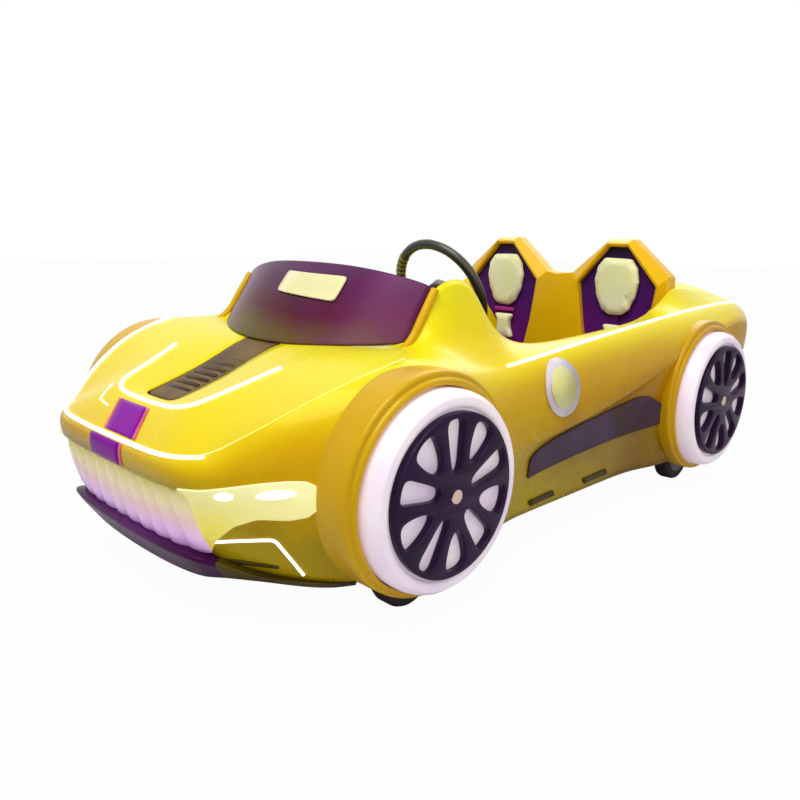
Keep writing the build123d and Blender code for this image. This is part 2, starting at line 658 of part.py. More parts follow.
def seat_cushion(side):
    """Soft cushion on one seat pan, between its bolsters."""
    half = SEAT_PAN_HALF_WIDTH - BOLSTER_WIDTH - SEAT_FIT
    base = SEAT_PAN_TOP_Z + SEAT_FIT
    centre = side * SEAT_X
    rear = SEAT_WALL_FRONT_Y - SEAT_FIT - LINER_THICKNESS - SEAT_FIT
    cushion = block(
        (centre - half, centre + half), (SEAT_PAN_FRONT_Y, rear), (base, base + CUSHION_HEIGHT)
    )
    return fillet(cushion.edges().group_by(Axis.Z)[-1], CUSHION_ROUND)


def seat_pads(side):
    """Oval back pad and waisted lower pad of one seat."""
    liner_front = SEAT_WALL_FRONT_Y + POCKET_DEPTH - SEAT_FIT - LINER_THICKNESS
    rear = liner_front - SEAT_FIT
    centre = side * SEAT_X
    back = Pos(centre, rear, BACK_PAD_Z) * Rot(90, 0, 0) * extrude(
        Ellipse(BACK_PAD_HALF_WIDTH, BACK_PAD_HALF_HEIGHT), PAD_THICKNESS
    )
    waist = [
        (LOWER_PAD_HALF_WIDTH, LOWER_PAD_Z + LOWER_PAD_HALF_HEIGHT),
        (LOWER_PAD_WAIST, LOWER_PAD_Z),
        (LOWER_PAD_HALF_WIDTH, LOWER_PAD_Z - LOWER_PAD_HALF_HEIGHT),
    ]
    ring = [(centre + x, z) for x, z in mirrored(waist)]
    lower = slab_y(ring, rear - PAD_THICKNESS, rear)
    return Compound(children=[back, lower])


def bowed(front, back, levels):
    """A slab between two copies of the grille's plan line."""
    half = on_plan(GRILLE_PLAN)
    line = [(-x, y) for x, y in reversed(half)] + [(0, NOSE_FACE_Y - GRILLE_BOW)] + half
    plan = [(x, y + front) for x, y in line] + [(x, y + back) for x, y in reversed(line)]
    return slab_z(plan, *levels)


def grille():
    """Bowed backing panel with slanted ribs, between the chin and the lip."""
    bottom = CHIN_Z + SEAT_FIT
    top = LIP_BOTTOM_Z - SEAT_FIT
    panel = bowed(0, GRILLE_BACK_THICKNESS, (bottom, top))
    rib_space = bowed(-GRILLE_RIB_DEPTH, SEAT_FIT, (bottom, top))
    half = GRILLE_HALF_WIDTH - SEAT_FIT
    pitch = 2 * half / GRILLE_RIBS
    for i in range(GRILLE_RIBS):
        left = -half + i * pitch
        foot = left + pitch - GRILLE_RIB_WIDTH
        right = left + GRILLE_RIB_WIDTH
        profile = [(left, top), (right, top), (foot + GRILLE_RIB_WIDTH, bottom), (foot, bottom)]
        panel = panel + (rib_space & slab_y(profile, NOSE_Y, FRONT_WHEEL_Y))
    return panel


def splitter():
    """Dark lip under the nose, with a chin in front and ends swept back to the arches."""
    front = (0, NOSE_Y + SPLITTER_REACH)
    rear = [(0, NOSE_FACE_Y + WALL)]
    blade = across(front, on_plan(SPLITTER_OUTER + SPLITTER_INNER), rear)
    chin = across(front, on_plan(SPLITTER_OUTER[:2] + CHIN_BACK), rear)
    body = slab_z(blade, SPLITTER_BOTTOM_Z, FRONT_SILL_Z - SEAT_FIT)
    return body + slab_z(chin, SPLITTER_BOTTOM_Z, CHIN_Z - SEAT_FIT)


def ribbon(points):
    """A light strip along points in space, mitred in plan."""
    rings = []
    last = len(points) - 1
    for i, point in enumerate(points):
        ahead = Vector(*points[min(i + 1, last)]) - Vector(*point)
        behind = Vector(*point) - Vector(*points[max(i - 1, 0)])
        way = Vector(0, 0, 0)
        for leg in (ahead, behind):
            flat = Vector(leg.X, leg.Y, 0)
            if flat.length > 0:
                way = way + flat.normalized()
        side = Vector(-way.Y, way.X, 0).normalized() * (STRIP_WIDTH / 2)
        low = Vector(*point)
        high = low + Vector(0, 0, STRIP_HEIGHT)
        rings.append([tuple(p) for p in (low - side, low + side, high + side, high - side)])
    strip = lofted(rings[:2])
    for i in range(1, last):
        strip = strip + lofted(rings[i : i + 2])
    return strip


def lifted(row, corner, seat=SEAT_FIT):
    """A point over one corner of a section, just clear of the slopes beside it."""
    corners = section_corners(row)
    here = corners[corner]
    slopes = [0.0]
    for other in (corners[corner - 1], corners[corner + 1]):
        slopes.append((other[1] - here[1]) / abs(other[0] - here[0]))
    rise = seat + max(slopes) * STRIP_WIDTH / 2
    return (here[0], row[0], here[1] + rise)


def both_ways(points):
    """A path that runs over the right side to the left side."""
    return [(-x, y, z) for x, y, z in reversed(points)] + points


def nose_light_strip():
    """Strip across the nose lip and back along both fender crests."""
    lip = LIP_TOP_Z + SEAT_FIT
    side = [(COCKPIT_HALF_WIDTH + x, NOSE_Y + y, lip) for x, y in NOSE_STRIP]
    crest = [lifted(row, 2, CREST_SEAT) for row in rows_between("nose_edge", "cowl_foot")]
    return ribbon(both_ways(side + crest))


def hood_light_strip():
    """Strip round the front and sides of the hood recess."""
    return ribbon(both_ways([lifted(row, 1) for row in rows_between("hood_front", "front_wheel")]))


def shoulder_light_strip():
    """Left strip along the door top and the rear fender."""
    return ribbon([lifted(row, 2) for row in rows_between("cockpit_front", "tail_edge")])


def turned(profile, y, z):
    """An X, radius profile turned about an axis parallel to X."""
    face = face_of([(x, y, z + r) for x, r in profile])
    return revolve(face, Axis((0, y, z), (1, 0, 0)))


def wheel_cover(wheel_y):
    """Left display wheel: tyre-shaped ring with a closed dish."""
    rim = COVER_DISH_RADIUS - COVER_WALL
    profile = [
        (COVER_BACK_X, rim),
        (COVER_BACK_X, COVER_RADIUS),
        (COVER_SHOULDER_X, COVER_RADIUS),
        (COVER_FACE_X, COVER_FACE_RADIUS),
        (COVER_FACE_X, COVER_DISH_RADIUS),
        (COVER_DISH_X, COVER_DISH_RADIUS),
        (COVER_DISH_X, 0),
        (COVER_DISH_X - COVER_WALL, 0),
        (COVER_DISH_X - COVER_WALL, rim),
    ]
    return turned(profile, wheel_y, COVER_CENTRE_Z)


def spoke_disc(wheel_y):
    """Left spoke disc: rim band, hub and five twin spokes."""
    back = COVER_DISH_X + SEAT_FIT
    inner = SPOKE_RIM_RADIUS - SPOKE_RIM_WIDTH
    disc = turned(
        [(back, inner), (back, SPOKE_RIM_RADIUS), (SPOKE_FACE_X, SPOKE_RIM_RADIUS), (SPOKE_FACE_X, inner)],
        wheel_y,
        COVER_CENTRE_Z,
    )
    disc = disc + arch_tube(wheel_y, SPOKE_HUB_RADIUS, back, SPOKE_FACE_X)
    for pair in range(SPOKE_PAIRS):
        for lean in (-SPOKE_HALF_ANGLE, SPOKE_HALF_ANGLE):
            angle = pair * 360 / SPOKE_PAIRS + lean
            spoke = block(
                (back, SPOKE_FACE_X - SPOKE_DROP), (-SPOKE_WIDTH / 2, SPOKE_WIDTH / 2), (0, inner + 1)
            )
            disc = disc + Pos(0, wheel_y, COVER_CENTRE_Z) * Rot(angle, 0, 0) * spoke
    return disc


def chassis_frame():
    """Two rails, cross members, outriggers, axle brackets and a rear tow eye."""
    levels = (RAIL_BOTTOM_Z, RAIL_TOP_Z)
    front = FRONT_WHEEL_Y + AXLE_BEAM_SIZE / 2 + SEAT_FIT
    outer = RAIL_X + RAIL_WIDTH / 2
    wide = COCKPIT_HALF_WIDTH - SEAT_FIT
    members = [(outer, CROSS_FRONT_Y)]
    members += [(wide, y) for y in CROSS_WIDE_Y]
    members += [(outer, y) for y in CROSS_NARROW_Y]
    frame = None
    for half, y in members:
        bar = block((-half, half), (y, y + CROSS_DEPTH), levels)
        frame = bar if frame is None else frame + bar
    for side in (1, -1):
        edges = sorted((side * (RAIL_X - RAIL_WIDTH / 2), side * outer))
        frame = frame + block(edges, (front, RAIL_REAR_Y), levels)
        hanger = sorted((side * AXLE_HANGER_X, side * (AXLE_HANGER_X + AXLE_HANGER_WIDTH)))
        hanger_y = (REAR_WHEEL_Y - RAIL_WIDTH / 2, REAR_WHEEL_Y + RAIL_WIDTH / 2)
        frame = frame + block(hanger, hanger_y, (HANGER_BOTTOM_Z, RAIL_BOTTOM_Z))
    axle = (0, REAR_WHEEL_Y, TYRE_RADIUS)
    frame = frame - rod((-outer, *axle[1:]), (outer, *axle[1:]), REAR_AXLE_RADIUS + SEAT_FIT)
    tow_end = RAIL_REAR_Y + TOW_LENGTH
    tow_levels = (TOW_BOTTOM_Z, TOW_BOTTOM_Z + TOW_THICKNESS)
    frame = frame + block((-TOW_WIDTH / 2, TOW_WIDTH / 2), (RAIL_REAR_Y - WALL, tow_end), tow_levels)
    hole_y = tow_end - TOW_HOLE_FROM_END
    return frame - rod((0, hole_y, RAIL_BOTTOM_Z), (0, hole_y, RAIL_TOP_Z), TOW_HOLE_RADIUS)


def floor_pan():
    """Cockpit floor with the bulkhead behind the front axle."""
    half = COCKPIT_HALF_WIDTH - SEAT_FIT
    floor = block((-half, half), (BULKHEAD_Y, FLOOR_REAR_Y), (FLOOR_BOTTOM_Z, FLOOR_TOP_Z))
    wall = block((-half, half), (BULKHEAD_Y, BULKHEAD_Y + FLOOR_THICKNESS), (FLOOR_BOTTOM_Z, BULKHEAD_TOP_Z))
    return floor + wall - rod(shaft_point(0), shaft_point(SHAFT_LENGTH), COLUMN_RADIUS + SEAT_FIT)


def front_axle():
    """Cross beam with a king pin at each end."""
    half_beam = AXLE_BEAM_SIZE / 2
    bottom = KNUCKLE_BOTTOM_Z + KNUCKLE_HEIGHT + SIDE_PLAY
    y_range = (FRONT_WHEEL_Y - half_beam, FRONT_WHEEL_Y + half_beam)
    beam = block((-KING_PIN_X, KING_PIN_X), y_range, (bottom, bottom + AXLE_BEAM_SIZE))
    for x in (KING_PIN_X, -KING_PIN_X):
        eye = rod((x, FRONT_WHEEL_Y, bottom), (x, FRONT_WHEEL_Y, bottom + AXLE_BEAM_SIZE), KNUCKLE_RADIUS)
        foot = KNUCKLE_BOTTOM_Z - SIDE_PLAY
        pin = rod((x, FRONT_WHEEL_Y, foot), (x, FRONT_WHEEL_Y, bottom), KING_PIN_RADIUS)
        head = rod((x, FRONT_WHEEL_Y, foot - STUB_HEAD_LENGTH), (x, FRONT_WHEEL_Y, foot), STUB_HEAD_RADIUS)
        beam = beam + eye + pin + head
    return beam


def stub(side, x_from, y):
    """A stub axle with its retaining head, from x_from outwards."""
    reach = ROAD_WHEEL_X + HUB_WIDTH / 2 + SIDE_PLAY
    height = TYRE_RADIUS
    shaft = rod((side * x_from, y, height), (side * reach, y, height), STUB_RADIUS)
    end = reach + STUB_HEAD_LENGTH
    return shaft + rod((side * reach, y, height), (side * end, y, height), STUB_HEAD_RADIUS)


def knuckle(side):
    """Sleeve on a king pin with a stub axle and a steering arm."""
    x = side * KING_PIN_X
    y = FRONT_WHEEL_Y
    top = KNUCKLE_BOTTOM_Z + KNUCKLE_HEIGHT
    sleeve = rod((x, y, KNUCKLE_BOTTOM_Z), (x, y, top), KNUCKLE_RADIUS)
    arm_end = y + STEER_ARM_LENGTH
    half = STEER_ARM_WIDTH / 2
    arm_levels = (ARM_TOP_Z - STEER_ARM_THICKNESS, ARM_TOP_Z)
    arm = block((x - half, x + half), (y, arm_end), arm_levels)
    arm = arm + rod((x, arm_end, arm_levels[0]), (x, arm_end, arm_levels[1]), half)
    pin_top = ARM_TOP_Z + SIDE_PLAY + TIE_EYE_HEIGHT + SIDE_PLAY
    pin = rod((x, arm_end, arm_levels[0]), (x, arm_end, pin_top), TIE_PIN_RADIUS)
    cap = rod((x, arm_end, pin_top), (x, arm_end, pin_top + TIE_CAP_HEIGHT), TIE_CAP_RADIUS)
    shoulder = rod((x, y, TYRE_RADIUS), (side * WHEEL_SHOULDER_X, y, TYRE_RADIUS), STUB_HEAD_RADIUS)
    body = sleeve + arm + pin + cap + shoulder + stub(side, KING_PIN_X, y)
    bore = KING_PIN_RADIUS + RUNNING_FIT
    return body - rod((x, y, KNUCKLE_BOTTOM_Z - WALL), (x, y, top + WALL), bore)


def tie_rod():
    """Bar between the steering arms, with the fork that the crank pin moves."""
    y = FRONT_WHEEL_Y + STEER_ARM_LENGTH
    low = ARM_TOP_Z + SIDE_PLAY
    middle = low + TIE_EYE_HEIGHT / 2
    bar = rod((-KING_PIN_X, y, middle), (KING_PIN_X, y, middle), TIE_ROD_RADIUS - SIDE_PLAY)
    inner = CRANK_PIN_RADIUS + FORK_CLEARANCE
    centre = STEERING_X
    _, pin_y, pin_z = crank_pin_middle()
    fork_y = (pin_y - FORK_DEPTH / 2, pin_y + FORK_DEPTH / 2)
    for side in (-1, 1):
        edges = sorted((centre + side * inner, centre + side * (inner + FORK_TINE)))
        bar = bar + block(edges, fork_y, (middle, pin_z + FORK_OVER_PIN))
    for x in (-KING_PIN_X, KING_PIN_X):
        eye = rod((x, y, low), (x, y, low + TIE_EYE_HEIGHT), TIE_EYE_RADIUS)
        hole = rod((x, y, low - WALL), (x, y, low + TIE_EYE_HEIGHT + WALL), TIE_PIN_RADIUS + RUNNING_FIT)
        bar = (bar + eye) - hole
    return bar


def rear_axle():
    """Fixed rear axle tube with a stub at each end."""
    y = REAR_WHEEL_Y
    tube = rod((-WHEEL_SHOULDER_X, y, TYRE_RADIUS), (WHEEL_SHOULDER_X, y, TYRE_RADIUS), REAR_AXLE_RADIUS)
    for side in (1, -1):
        tube = tube + stub(side, RAIL_X, y)
    return tube


def wheel_hub(side, y):
    """Plastic hub of one road wheel."""
    x = side * ROAD_WHEEL_X
    half = HUB_WIDTH / 2
    hub = rod((x - half, y, TYRE_RADIUS), (x + half, y, TYRE_RADIUS), HUB_WASHER_RADIUS)
    half = TYRE_WIDTH / 2
    hub = hub + rod((x - half, y, TYRE_RADIUS), (x + half, y, TYRE_RADIUS), HUB_RADIUS - SEAT_FIT)
    reach = HUB_WIDTH
    return hub - rod((x - reach, y, TYRE_RADIUS), (x + reach, y, TYRE_RADIUS), STUB_RADIUS + RUNNING_FIT)


def wheel_tyre(side, y):
    """Solid tyre of one road wheel."""
    x = side * ROAD_WHEEL_X
    half = TYRE_WIDTH / 2
    profile = [
        (x - half, HUB_RADIUS),
        (x - half, TYRE_RADIUS - TYRE_EDGE),
        (x - half + TYRE_EDGE, TYRE_RADIUS),
        (x + half - TYRE_EDGE, TYRE_RADIUS),
        (x + half, TYRE_RADIUS - TYRE_EDGE),
        (x + half, HUB_RADIUS),
    ]
    return turned(profile, y, TYRE_RADIUS)


def shaft_point(along):
    """A point on the steering shaft, counted forwards from the wheel's centre."""
    tilt = radians(STEERING_TILT)
    return (STEERING_X, STEERING_Y - along * cos(tilt), STEERING_Z - along * sin(tilt))


def crank_pin_middle():
    """The middle of the crank pin's free length."""
    tilt = radians(STEERING_TILT)
    x, y, z = shaft_point(SHAFT_LENGTH)
    half = CRANK_PIN_LENGTH * CRANK_PIN_GRIP
    return (x, y + CRANK_LENGTH * sin(tilt) - half * cos(tilt), z - CRANK_LENGTH * cos(tilt) - half * sin(tilt))


def along_to(y):
    """How far along the shaft a Y lies."""
    return (STEERING_Y - y) / cos(radians(STEERING_TILT))


def steering_column():
    """Fixed tube round the shaft, held in the bulkhead."""
    tube = rod(shaft_point(along_to(COLUMN_REAR_Y)), shaft_point(along_to(COLUMN_FRONT_Y)), COLUMN_RADIUS)
    return tube - rod(shaft_point(0), shaft_point(SHAFT_LENGTH), SHAFT_RADIUS + RUNNING_FIT)


def steering_wheel():
    """Ring, hub and spokes on the shaft, with the crank at its lower end."""
    tilt = radians(STEERING_TILT)
    facing = (0, cos(tilt), sin(tilt))
    wheel_plane = Plane(origin=shaft_point(0), x_dir=(1, 0, 0), z_dir=facing)
    half_hub = STEERING_HUB_DEPTH / 2
    body = rod(shaft_point(-half_hub), shaft_point(half_hub), STEERING_HUB_RADIUS)
    body = body + wheel_plane * Torus(STEERING_RING_RADIUS, STEERING_TUBE_RADIUS)
    reach = STEERING_RING_RADIUS
    depth = (-STEERING_SPOKE_THICKNESS / 2, STEERING_SPOKE_THICKNESS / 2)
    band = block((-reach, reach), (-STEERING_BAND_HALF, STEERING_BAND_HALF), depth)
    stem = block((-STEERING_STEM_HALF, STEERING_STEM_HALF), (0, reach), depth)
    body = body + wheel_plane * band + wheel_plane * stem
    shaft = rod(shaft_point(0), shaft_point(SHAFT_LENGTH), SHAFT_RADIUS)
    end = Plane(origin=shaft_point(SHAFT_LENGTH), x_dir=(1, 0, 0), z_dir=facing)
    half = CRANK_WIDTH / 2
    crank = end * block((-half, half), (-half, CRANK_LENGTH), (0, CRANK_THICKNESS))
    pin = end * Pos(0, CRANK_LENGTH, CRANK_THICKNESS / 2) * Rot(180, 0, 0) * Cylinder(
        CRANK_PIN_RADIUS,
        CRANK_PIN_LENGTH + CRANK_THICKNESS / 2,
        align=(Align.CENTER, Align.CENTER, Align.MIN),
    )
    return body + shaft + crank + pin


def motor():
    """Drive motor and gearbox as one plain block."""
    width, depth, height = MOTOR_SIZE
    base = RAIL_TOP_Z + SEAT_FIT
    return block((MOTOR_X, MOTOR_X + width), (POWER_Y, POWER_Y + depth), (base, base + height))


def battery():
    """Battery as one plain block."""
    width, depth, height = BATTERY_SIZE
    base = RAIL_TOP_Z + SEAT_FIT
    return block((BATTERY_X, BATTERY_X + width), (POWER_Y, POWER_Y + depth), (base, base + height))


def tail_lamp():
    """Strip lamp across the tail panel."""
    levels = (TAIL_LAMP_BOTTOM_Z, TAIL_LAMP_BOTTOM_Z + TAIL_LAMP_HEIGHT)
    return block((-TAIL_LAMP_HALF_WIDTH, TAIL_LAMP_HALF_WIDTH), (TAIL_FACE_Y + SEAT_FIT, TAIL_Y), levels)


def rear_bumper():
    """Dark bar below the tail panel."""
    half = BUMPER_HALF_WIDTH
    levels = (BUMPER_TOP_Z - BUMPER_HEIGHT, BUMPER_TOP_Z - SEAT_FIT)
    return block((-half, half), (TAIL_FACE_Y - BUMPER_DEPTH, TAIL_Y), levels)


def to_right(shape):
    """The right-hand twin of a left-hand piece."""
    return mirror(shape, about=Plane.YZ)


PARTS = {
    "front_shell": front_shell(),
    "rear_shell": rear_shell(),
    "cowl": cowl(),
    "windscreen": windscreen(),
    "dash_top": dash_top(),
    "dash_panel": dash_panel(),
    "seat_wall": seat_wall(),
    "grille": grille(),
    "splitter": splitter(),
    "nose_light_strip": nose_light_strip(),
    "hood_light_strip": hood_light_strip(),
    "shoulder_light_strips": both_sides(shoulder_light_strip()),
    "chassis_frame": chassis_frame(),
    "floor_pan": floor_pan(),
    "front_axle": front_axle(),
    "rear_axle": rear_axle(),
    "tie_rod": tie_rod(),
    "steering_column": steering_column(),
    "steering_wheel": steering_wheel(),
    "motor": motor(),
    "battery": battery(),
    "tail_lamp": tail_lamp(),
    "rear_bumper": rear_bumper(),
}
for label, side in (("left", 1), ("right", -1)):
    PARTS[f"seat_{label}"] = seat(side)
    PARTS[f"seat_cushion_{label}"] = seat_cushion(side)
    PARTS[f"seat_pads_{label}"] = seat_pads(side)
    PARTS[f"knuckle_{label}"] = knuckle(side)
    for end, wheel_y in (("front", FRONT_WHEEL_Y), ("rear", REAR_WHEEL_Y)):
        PARTS[f"{end}_hub_{label}"] = wheel_hub(side, wheel_y)
        PARTS[f"{end}_tyre_{label}"] = wheel_tyre(side, wheel_y)
door = side_shell()
lamp = headlight()
PARTS["side_shell_left"] = door
PARTS["side_shell_right"] = to_right(door)
PARTS["headlight_left"] = lamp
PARTS["headlight_right"] = to_right(lamp)
for end, wheel_y in (("front", FRONT_WHEEL_Y), ("rear", REAR_WHEEL_Y)):
    PARTS[f"wheel_covers_{end}"] = both_sides(wheel_cover(wheel_y))
    PARTS[f"spoke_discs_{end}"] = both_sides(spoke_disc(wheel_y))

os.makedirs("parts", exist_ok=True)
for name, shape in PARTS.items():
    export_step(shape, f"parts/{name}.step")
    print(name, len(shape.solids()), round(shape.volume / 1e6, 3), "litres", shape.is_valid)
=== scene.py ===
"""Dresses the two-seat ride-on car: lit body, wheels, seats, controls and studio."""

import logging
import math
from dataclasses import dataclass, field, replace
from enum import Enum
from typing import Iterable, Sequence

import bmesh
import bpy
from mathutils import Matrix, Vector
from mathutils.bvhtree import BVHTree


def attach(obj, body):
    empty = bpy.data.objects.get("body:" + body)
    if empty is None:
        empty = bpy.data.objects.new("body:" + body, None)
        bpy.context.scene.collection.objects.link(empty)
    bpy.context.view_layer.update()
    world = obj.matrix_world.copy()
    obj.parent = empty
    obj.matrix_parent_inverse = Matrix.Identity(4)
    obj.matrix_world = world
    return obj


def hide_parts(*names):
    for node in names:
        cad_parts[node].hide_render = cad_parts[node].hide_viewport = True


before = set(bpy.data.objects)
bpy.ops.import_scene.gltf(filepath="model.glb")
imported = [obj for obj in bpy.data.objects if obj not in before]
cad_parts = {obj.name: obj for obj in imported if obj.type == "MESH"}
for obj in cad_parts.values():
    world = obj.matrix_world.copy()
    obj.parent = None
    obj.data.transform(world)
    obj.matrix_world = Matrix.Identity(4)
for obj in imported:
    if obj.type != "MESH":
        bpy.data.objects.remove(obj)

Point = tuple[float, float, float]
Flat = tuple[float, float]
Colour = tuple[float, float, float]
Mesh = bmesh.types.BMesh
Verts = list[bmesh.types.BMVert]
Tree = bpy.types.NodeTree

ORIGIN = (0.0, 0.0, 0.0)
ALONG_X = (1.0, 0.0, 0.0)
SPREAD_OF_FIVE = (-1.0, -0.5, 0.0, 0.5, 1.0)
MIRROR_GAP = 0.0004
SPIN_GAP = 0.00005
LOG = logging.getLogger("ride_on_car")
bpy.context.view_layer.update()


class Part(str, Enum):
    """The moving bodies that pieces ride on."""

    CAR = "car_body"
    STEERING = "steering"


class Slot(str, Enum):
    """The record's material slots."""

    GOLD = "body_gold"
    TRIM = "dark_trim"
    UPHOLSTERY = "dark_upholstery"
    PAD = "pale_pad"
    SCREEN = "screen_tint"
    LAMP = "lamp_lit"
    COVER = "cover_lit"
    SPOKE = "spoke_dark"
    FRAME = "frame_paint"
    STEEL = "steel"
    TYRE = "tyre"
    HUB = "hub_plastic"
    GRIP = "wheel_grip"
    MOTOR = "motor_case"
    BATTERY = "battery_case"
    FLOOR = "floor_plastic"


class Relief(Enum):
    """The fine surface relief of a finish."""

    PEEL = "peel"
    GRAIN = "grain"
    LEATHER = "leather"
    BRUSHED = "brushed"


def feed(tree: Tree, made: bpy.types.Node, inputs: dict) -> None:
    """Feeds a node's inputs.

    Args:
        tree: the node tree.
        made: the node.
        inputs: what feeds each input: a value, or the output that is linked to it.
    """
    for key, value in inputs.items():
        if isinstance(value, bpy.types.NodeSocket):
            tree.links.new(value, made.inputs[key])
        else:
            made.inputs[key].default_value = value


def node(tree: Tree, kind: str, inputs: dict, **settings: object) -> bpy.types.Node:
    """Adds a shader node, sets it and feeds it.

    Args:
        tree: the node tree.
        kind: the node's type, after ShaderNode.
        inputs: what feeds each input.
        settings: the node's own settings.

    Returns:
        The node.
    """
    made = tree.nodes.new(f"ShaderNode{kind}")
    for name, value in settings.items():
        setattr(made, name, value)
    feed(tree, made, inputs)
    return made


def mixed(tree: Tree, share: object, first: object, second: object) -> bpy.types.NodeSocket:
    """Mixes two colours.

    Args:
        tree: the node tree.
        share: how much of the second one.
        first: the first colour.
        second: the second colour.

    Returns:
        The socket that gives the mix.
    """
    return node(tree, "Mix", {0: share, 6: first, 7: second}, data_type="RGBA").outputs[2]


def solid(colour: Colour) -> tuple[float, ...]:
    """A colour with its full cover, as sockets take it."""
    return (*colour, 1.0)


class Shading:
    """Shader groups that several finishes share, each built once."""

    groups: dict[str, Tree] = {}

    @classmethod
    def begin(cls, name: str, inputs: Sequence[tuple], outputs: Sequence[tuple]) -> tuple:
        """Starts a shader group with its sockets.

        Args:
            name: the group's name.
            inputs: name, kind and, where it has one, default of each input.
            outputs: name and kind of each output.

        Returns:
            The group, what it is given and its result node.
        """
        group = cls.groups[name] = bpy.data.node_groups.new(name, "ShaderNodeTree")
        for way, sockets in (("INPUT", inputs), ("OUTPUT", outputs)):
            for title, kind, *default in sockets:
                kept = group.interface.new_socket(
                    title, in_out=way, socket_type=f"NodeSocket{kind}"
                )
                if default:
                    kept.default_value = default[0]
        given = group.nodes.new("NodeGroupInput").outputs
        return group, given, group.nodes.new("NodeGroupOutput")

    @classmethod
    def tone(cls) -> Tree:
        """The group that drifts a colour, wears it and varies its gloss.

        Returns:
            The shader node group.
        """
        name = "Tone and wear"
        if name in cls.groups:
            return cls.groups[name]
        group, given, result = cls.begin(
            name,
            (
                ("Place", "Vector"), ("Base", "Color"), ("Drift", "Color"), ("Worn", "Color"),
                ("Drift Scale", "Float", 3.0), ("Drift Amount", "Float", 1.0),
                ("Wear", "Float", 0.1), ("Gloss", "Float", 0.4), ("Gloss Swing", "Float", 0.15),
            ),
            (("Colour", "Color"), ("Roughness", "Float")),
        )
        broad = node(
            group,
            "TexNoise",
            {"Vector": given["Place"], "Scale": given["Drift Scale"], "Detail": 3.0},
        ).outputs["Fac"]
        spread = node(
            group,
            "MapRange",
            {"Value": broad, "From Min": 0.38, "From Max": 0.66, "To Max": given["Drift Amount"]},
        ).outputs["Result"]
        drifted = mixed(group, spread, given["Base"], given["Drift"])
        scuffs = node(
            group,
            "TexNoise",
            {"Vector": given["Place"], "Scale": 26.0, "Detail": 8.0, "Roughness": 0.7},
        ).outputs["Fac"]
        worn = node(group, "MapRange", {"Value": scuffs, "From Min": 0.6, "From Max": 0.75})
        amount = node(
            group, "Math", {0: worn.outputs["Result"], 1: given["Wear"]}, operation="MULTIPLY"
        ).outputs[0]
        gloss = node(
            group,
            "Math",
            {0: scuffs, 1: given["Gloss Swing"], 2: given["Gloss"]},
            operation="MULTIPLY_ADD",
            use_clamp=True,
        ).outputs[0]
        final = mixed(group, amount, drifted, given["Worn"])
        feed(group, result, {"Colour": final, "Roughness": gloss})
        return group

    @classmethod
    def relief(cls, kind: Relief) -> Tree:
        """The group that gives the height of a fine surface relief.

        Args:
            kind: which relief.

        Returns:
            The shader node group.
        """
        name = f"Relief {kind.value}"
        if name in cls.groups:
            return cls.groups[name]
        group, given, result = cls.begin(
            name, (("Place", "Vector"), ("Scale", "Float", 200.0)), (("Height", "Float"),)
        )
        inputs = {"Vector": given["Place"], "Scale": given["Scale"]}
        if kind is Relief.BRUSHED:
            stretched = {"Vector": given["Place"], "Scale": (0.05, 1.0, 1.0)}
            inputs["Vector"] = node(group, "Mapping", stretched).outputs["Vector"]
        if kind is Relief.LEATHER:
            height = node(group, "TexVoronoi", inputs, feature="SMOOTH_F1").outputs["Distance"]
        else:
            inputs["Detail"] = 1.0 if kind is Relief.PEEL else 5.0
            height = node(group, "TexNoise", inputs).outputs["Fac"]
        feed(group, result, {"Height": height})
        return group

    @classmethod
    def rise(cls) -> Tree:
        """The group that tells how far up a point is between two heights, with a ragged edge.

        Returns:
            The shader node group.
        """
        if "Rise" in cls.groups:
            return cls.groups["Rise"]
        group, given, result = cls.begin(
            "Rise",
            (
                ("Place", "Vector"), ("Low", "Float", 0.0),
                ("High", "Float", 1.0), ("Ragged", "Float", 0.1),
            ),
            (("Share", "Float"),),
        )
        apart = node(group, "SeparateXYZ", {0: given["Place"]}).outputs["Z"]
        cloud = node(group, "TexNoise", {"Vector": given["Place"], "Scale": 5.0}).outputs["Fac"]
        moved = node(
            group, "Math", {0: cloud, 1: given["Ragged"], 2: apart}, operation="MULTIPLY_ADD"
        ).outputs[0]
        share = node(
            group,
            "MapRange",
            {"Value": moved, "From Min": given["Low"], "From Max": given["High"]},
        ).outputs["Result"]
        feed(group, result, {"Share": share})
        return group


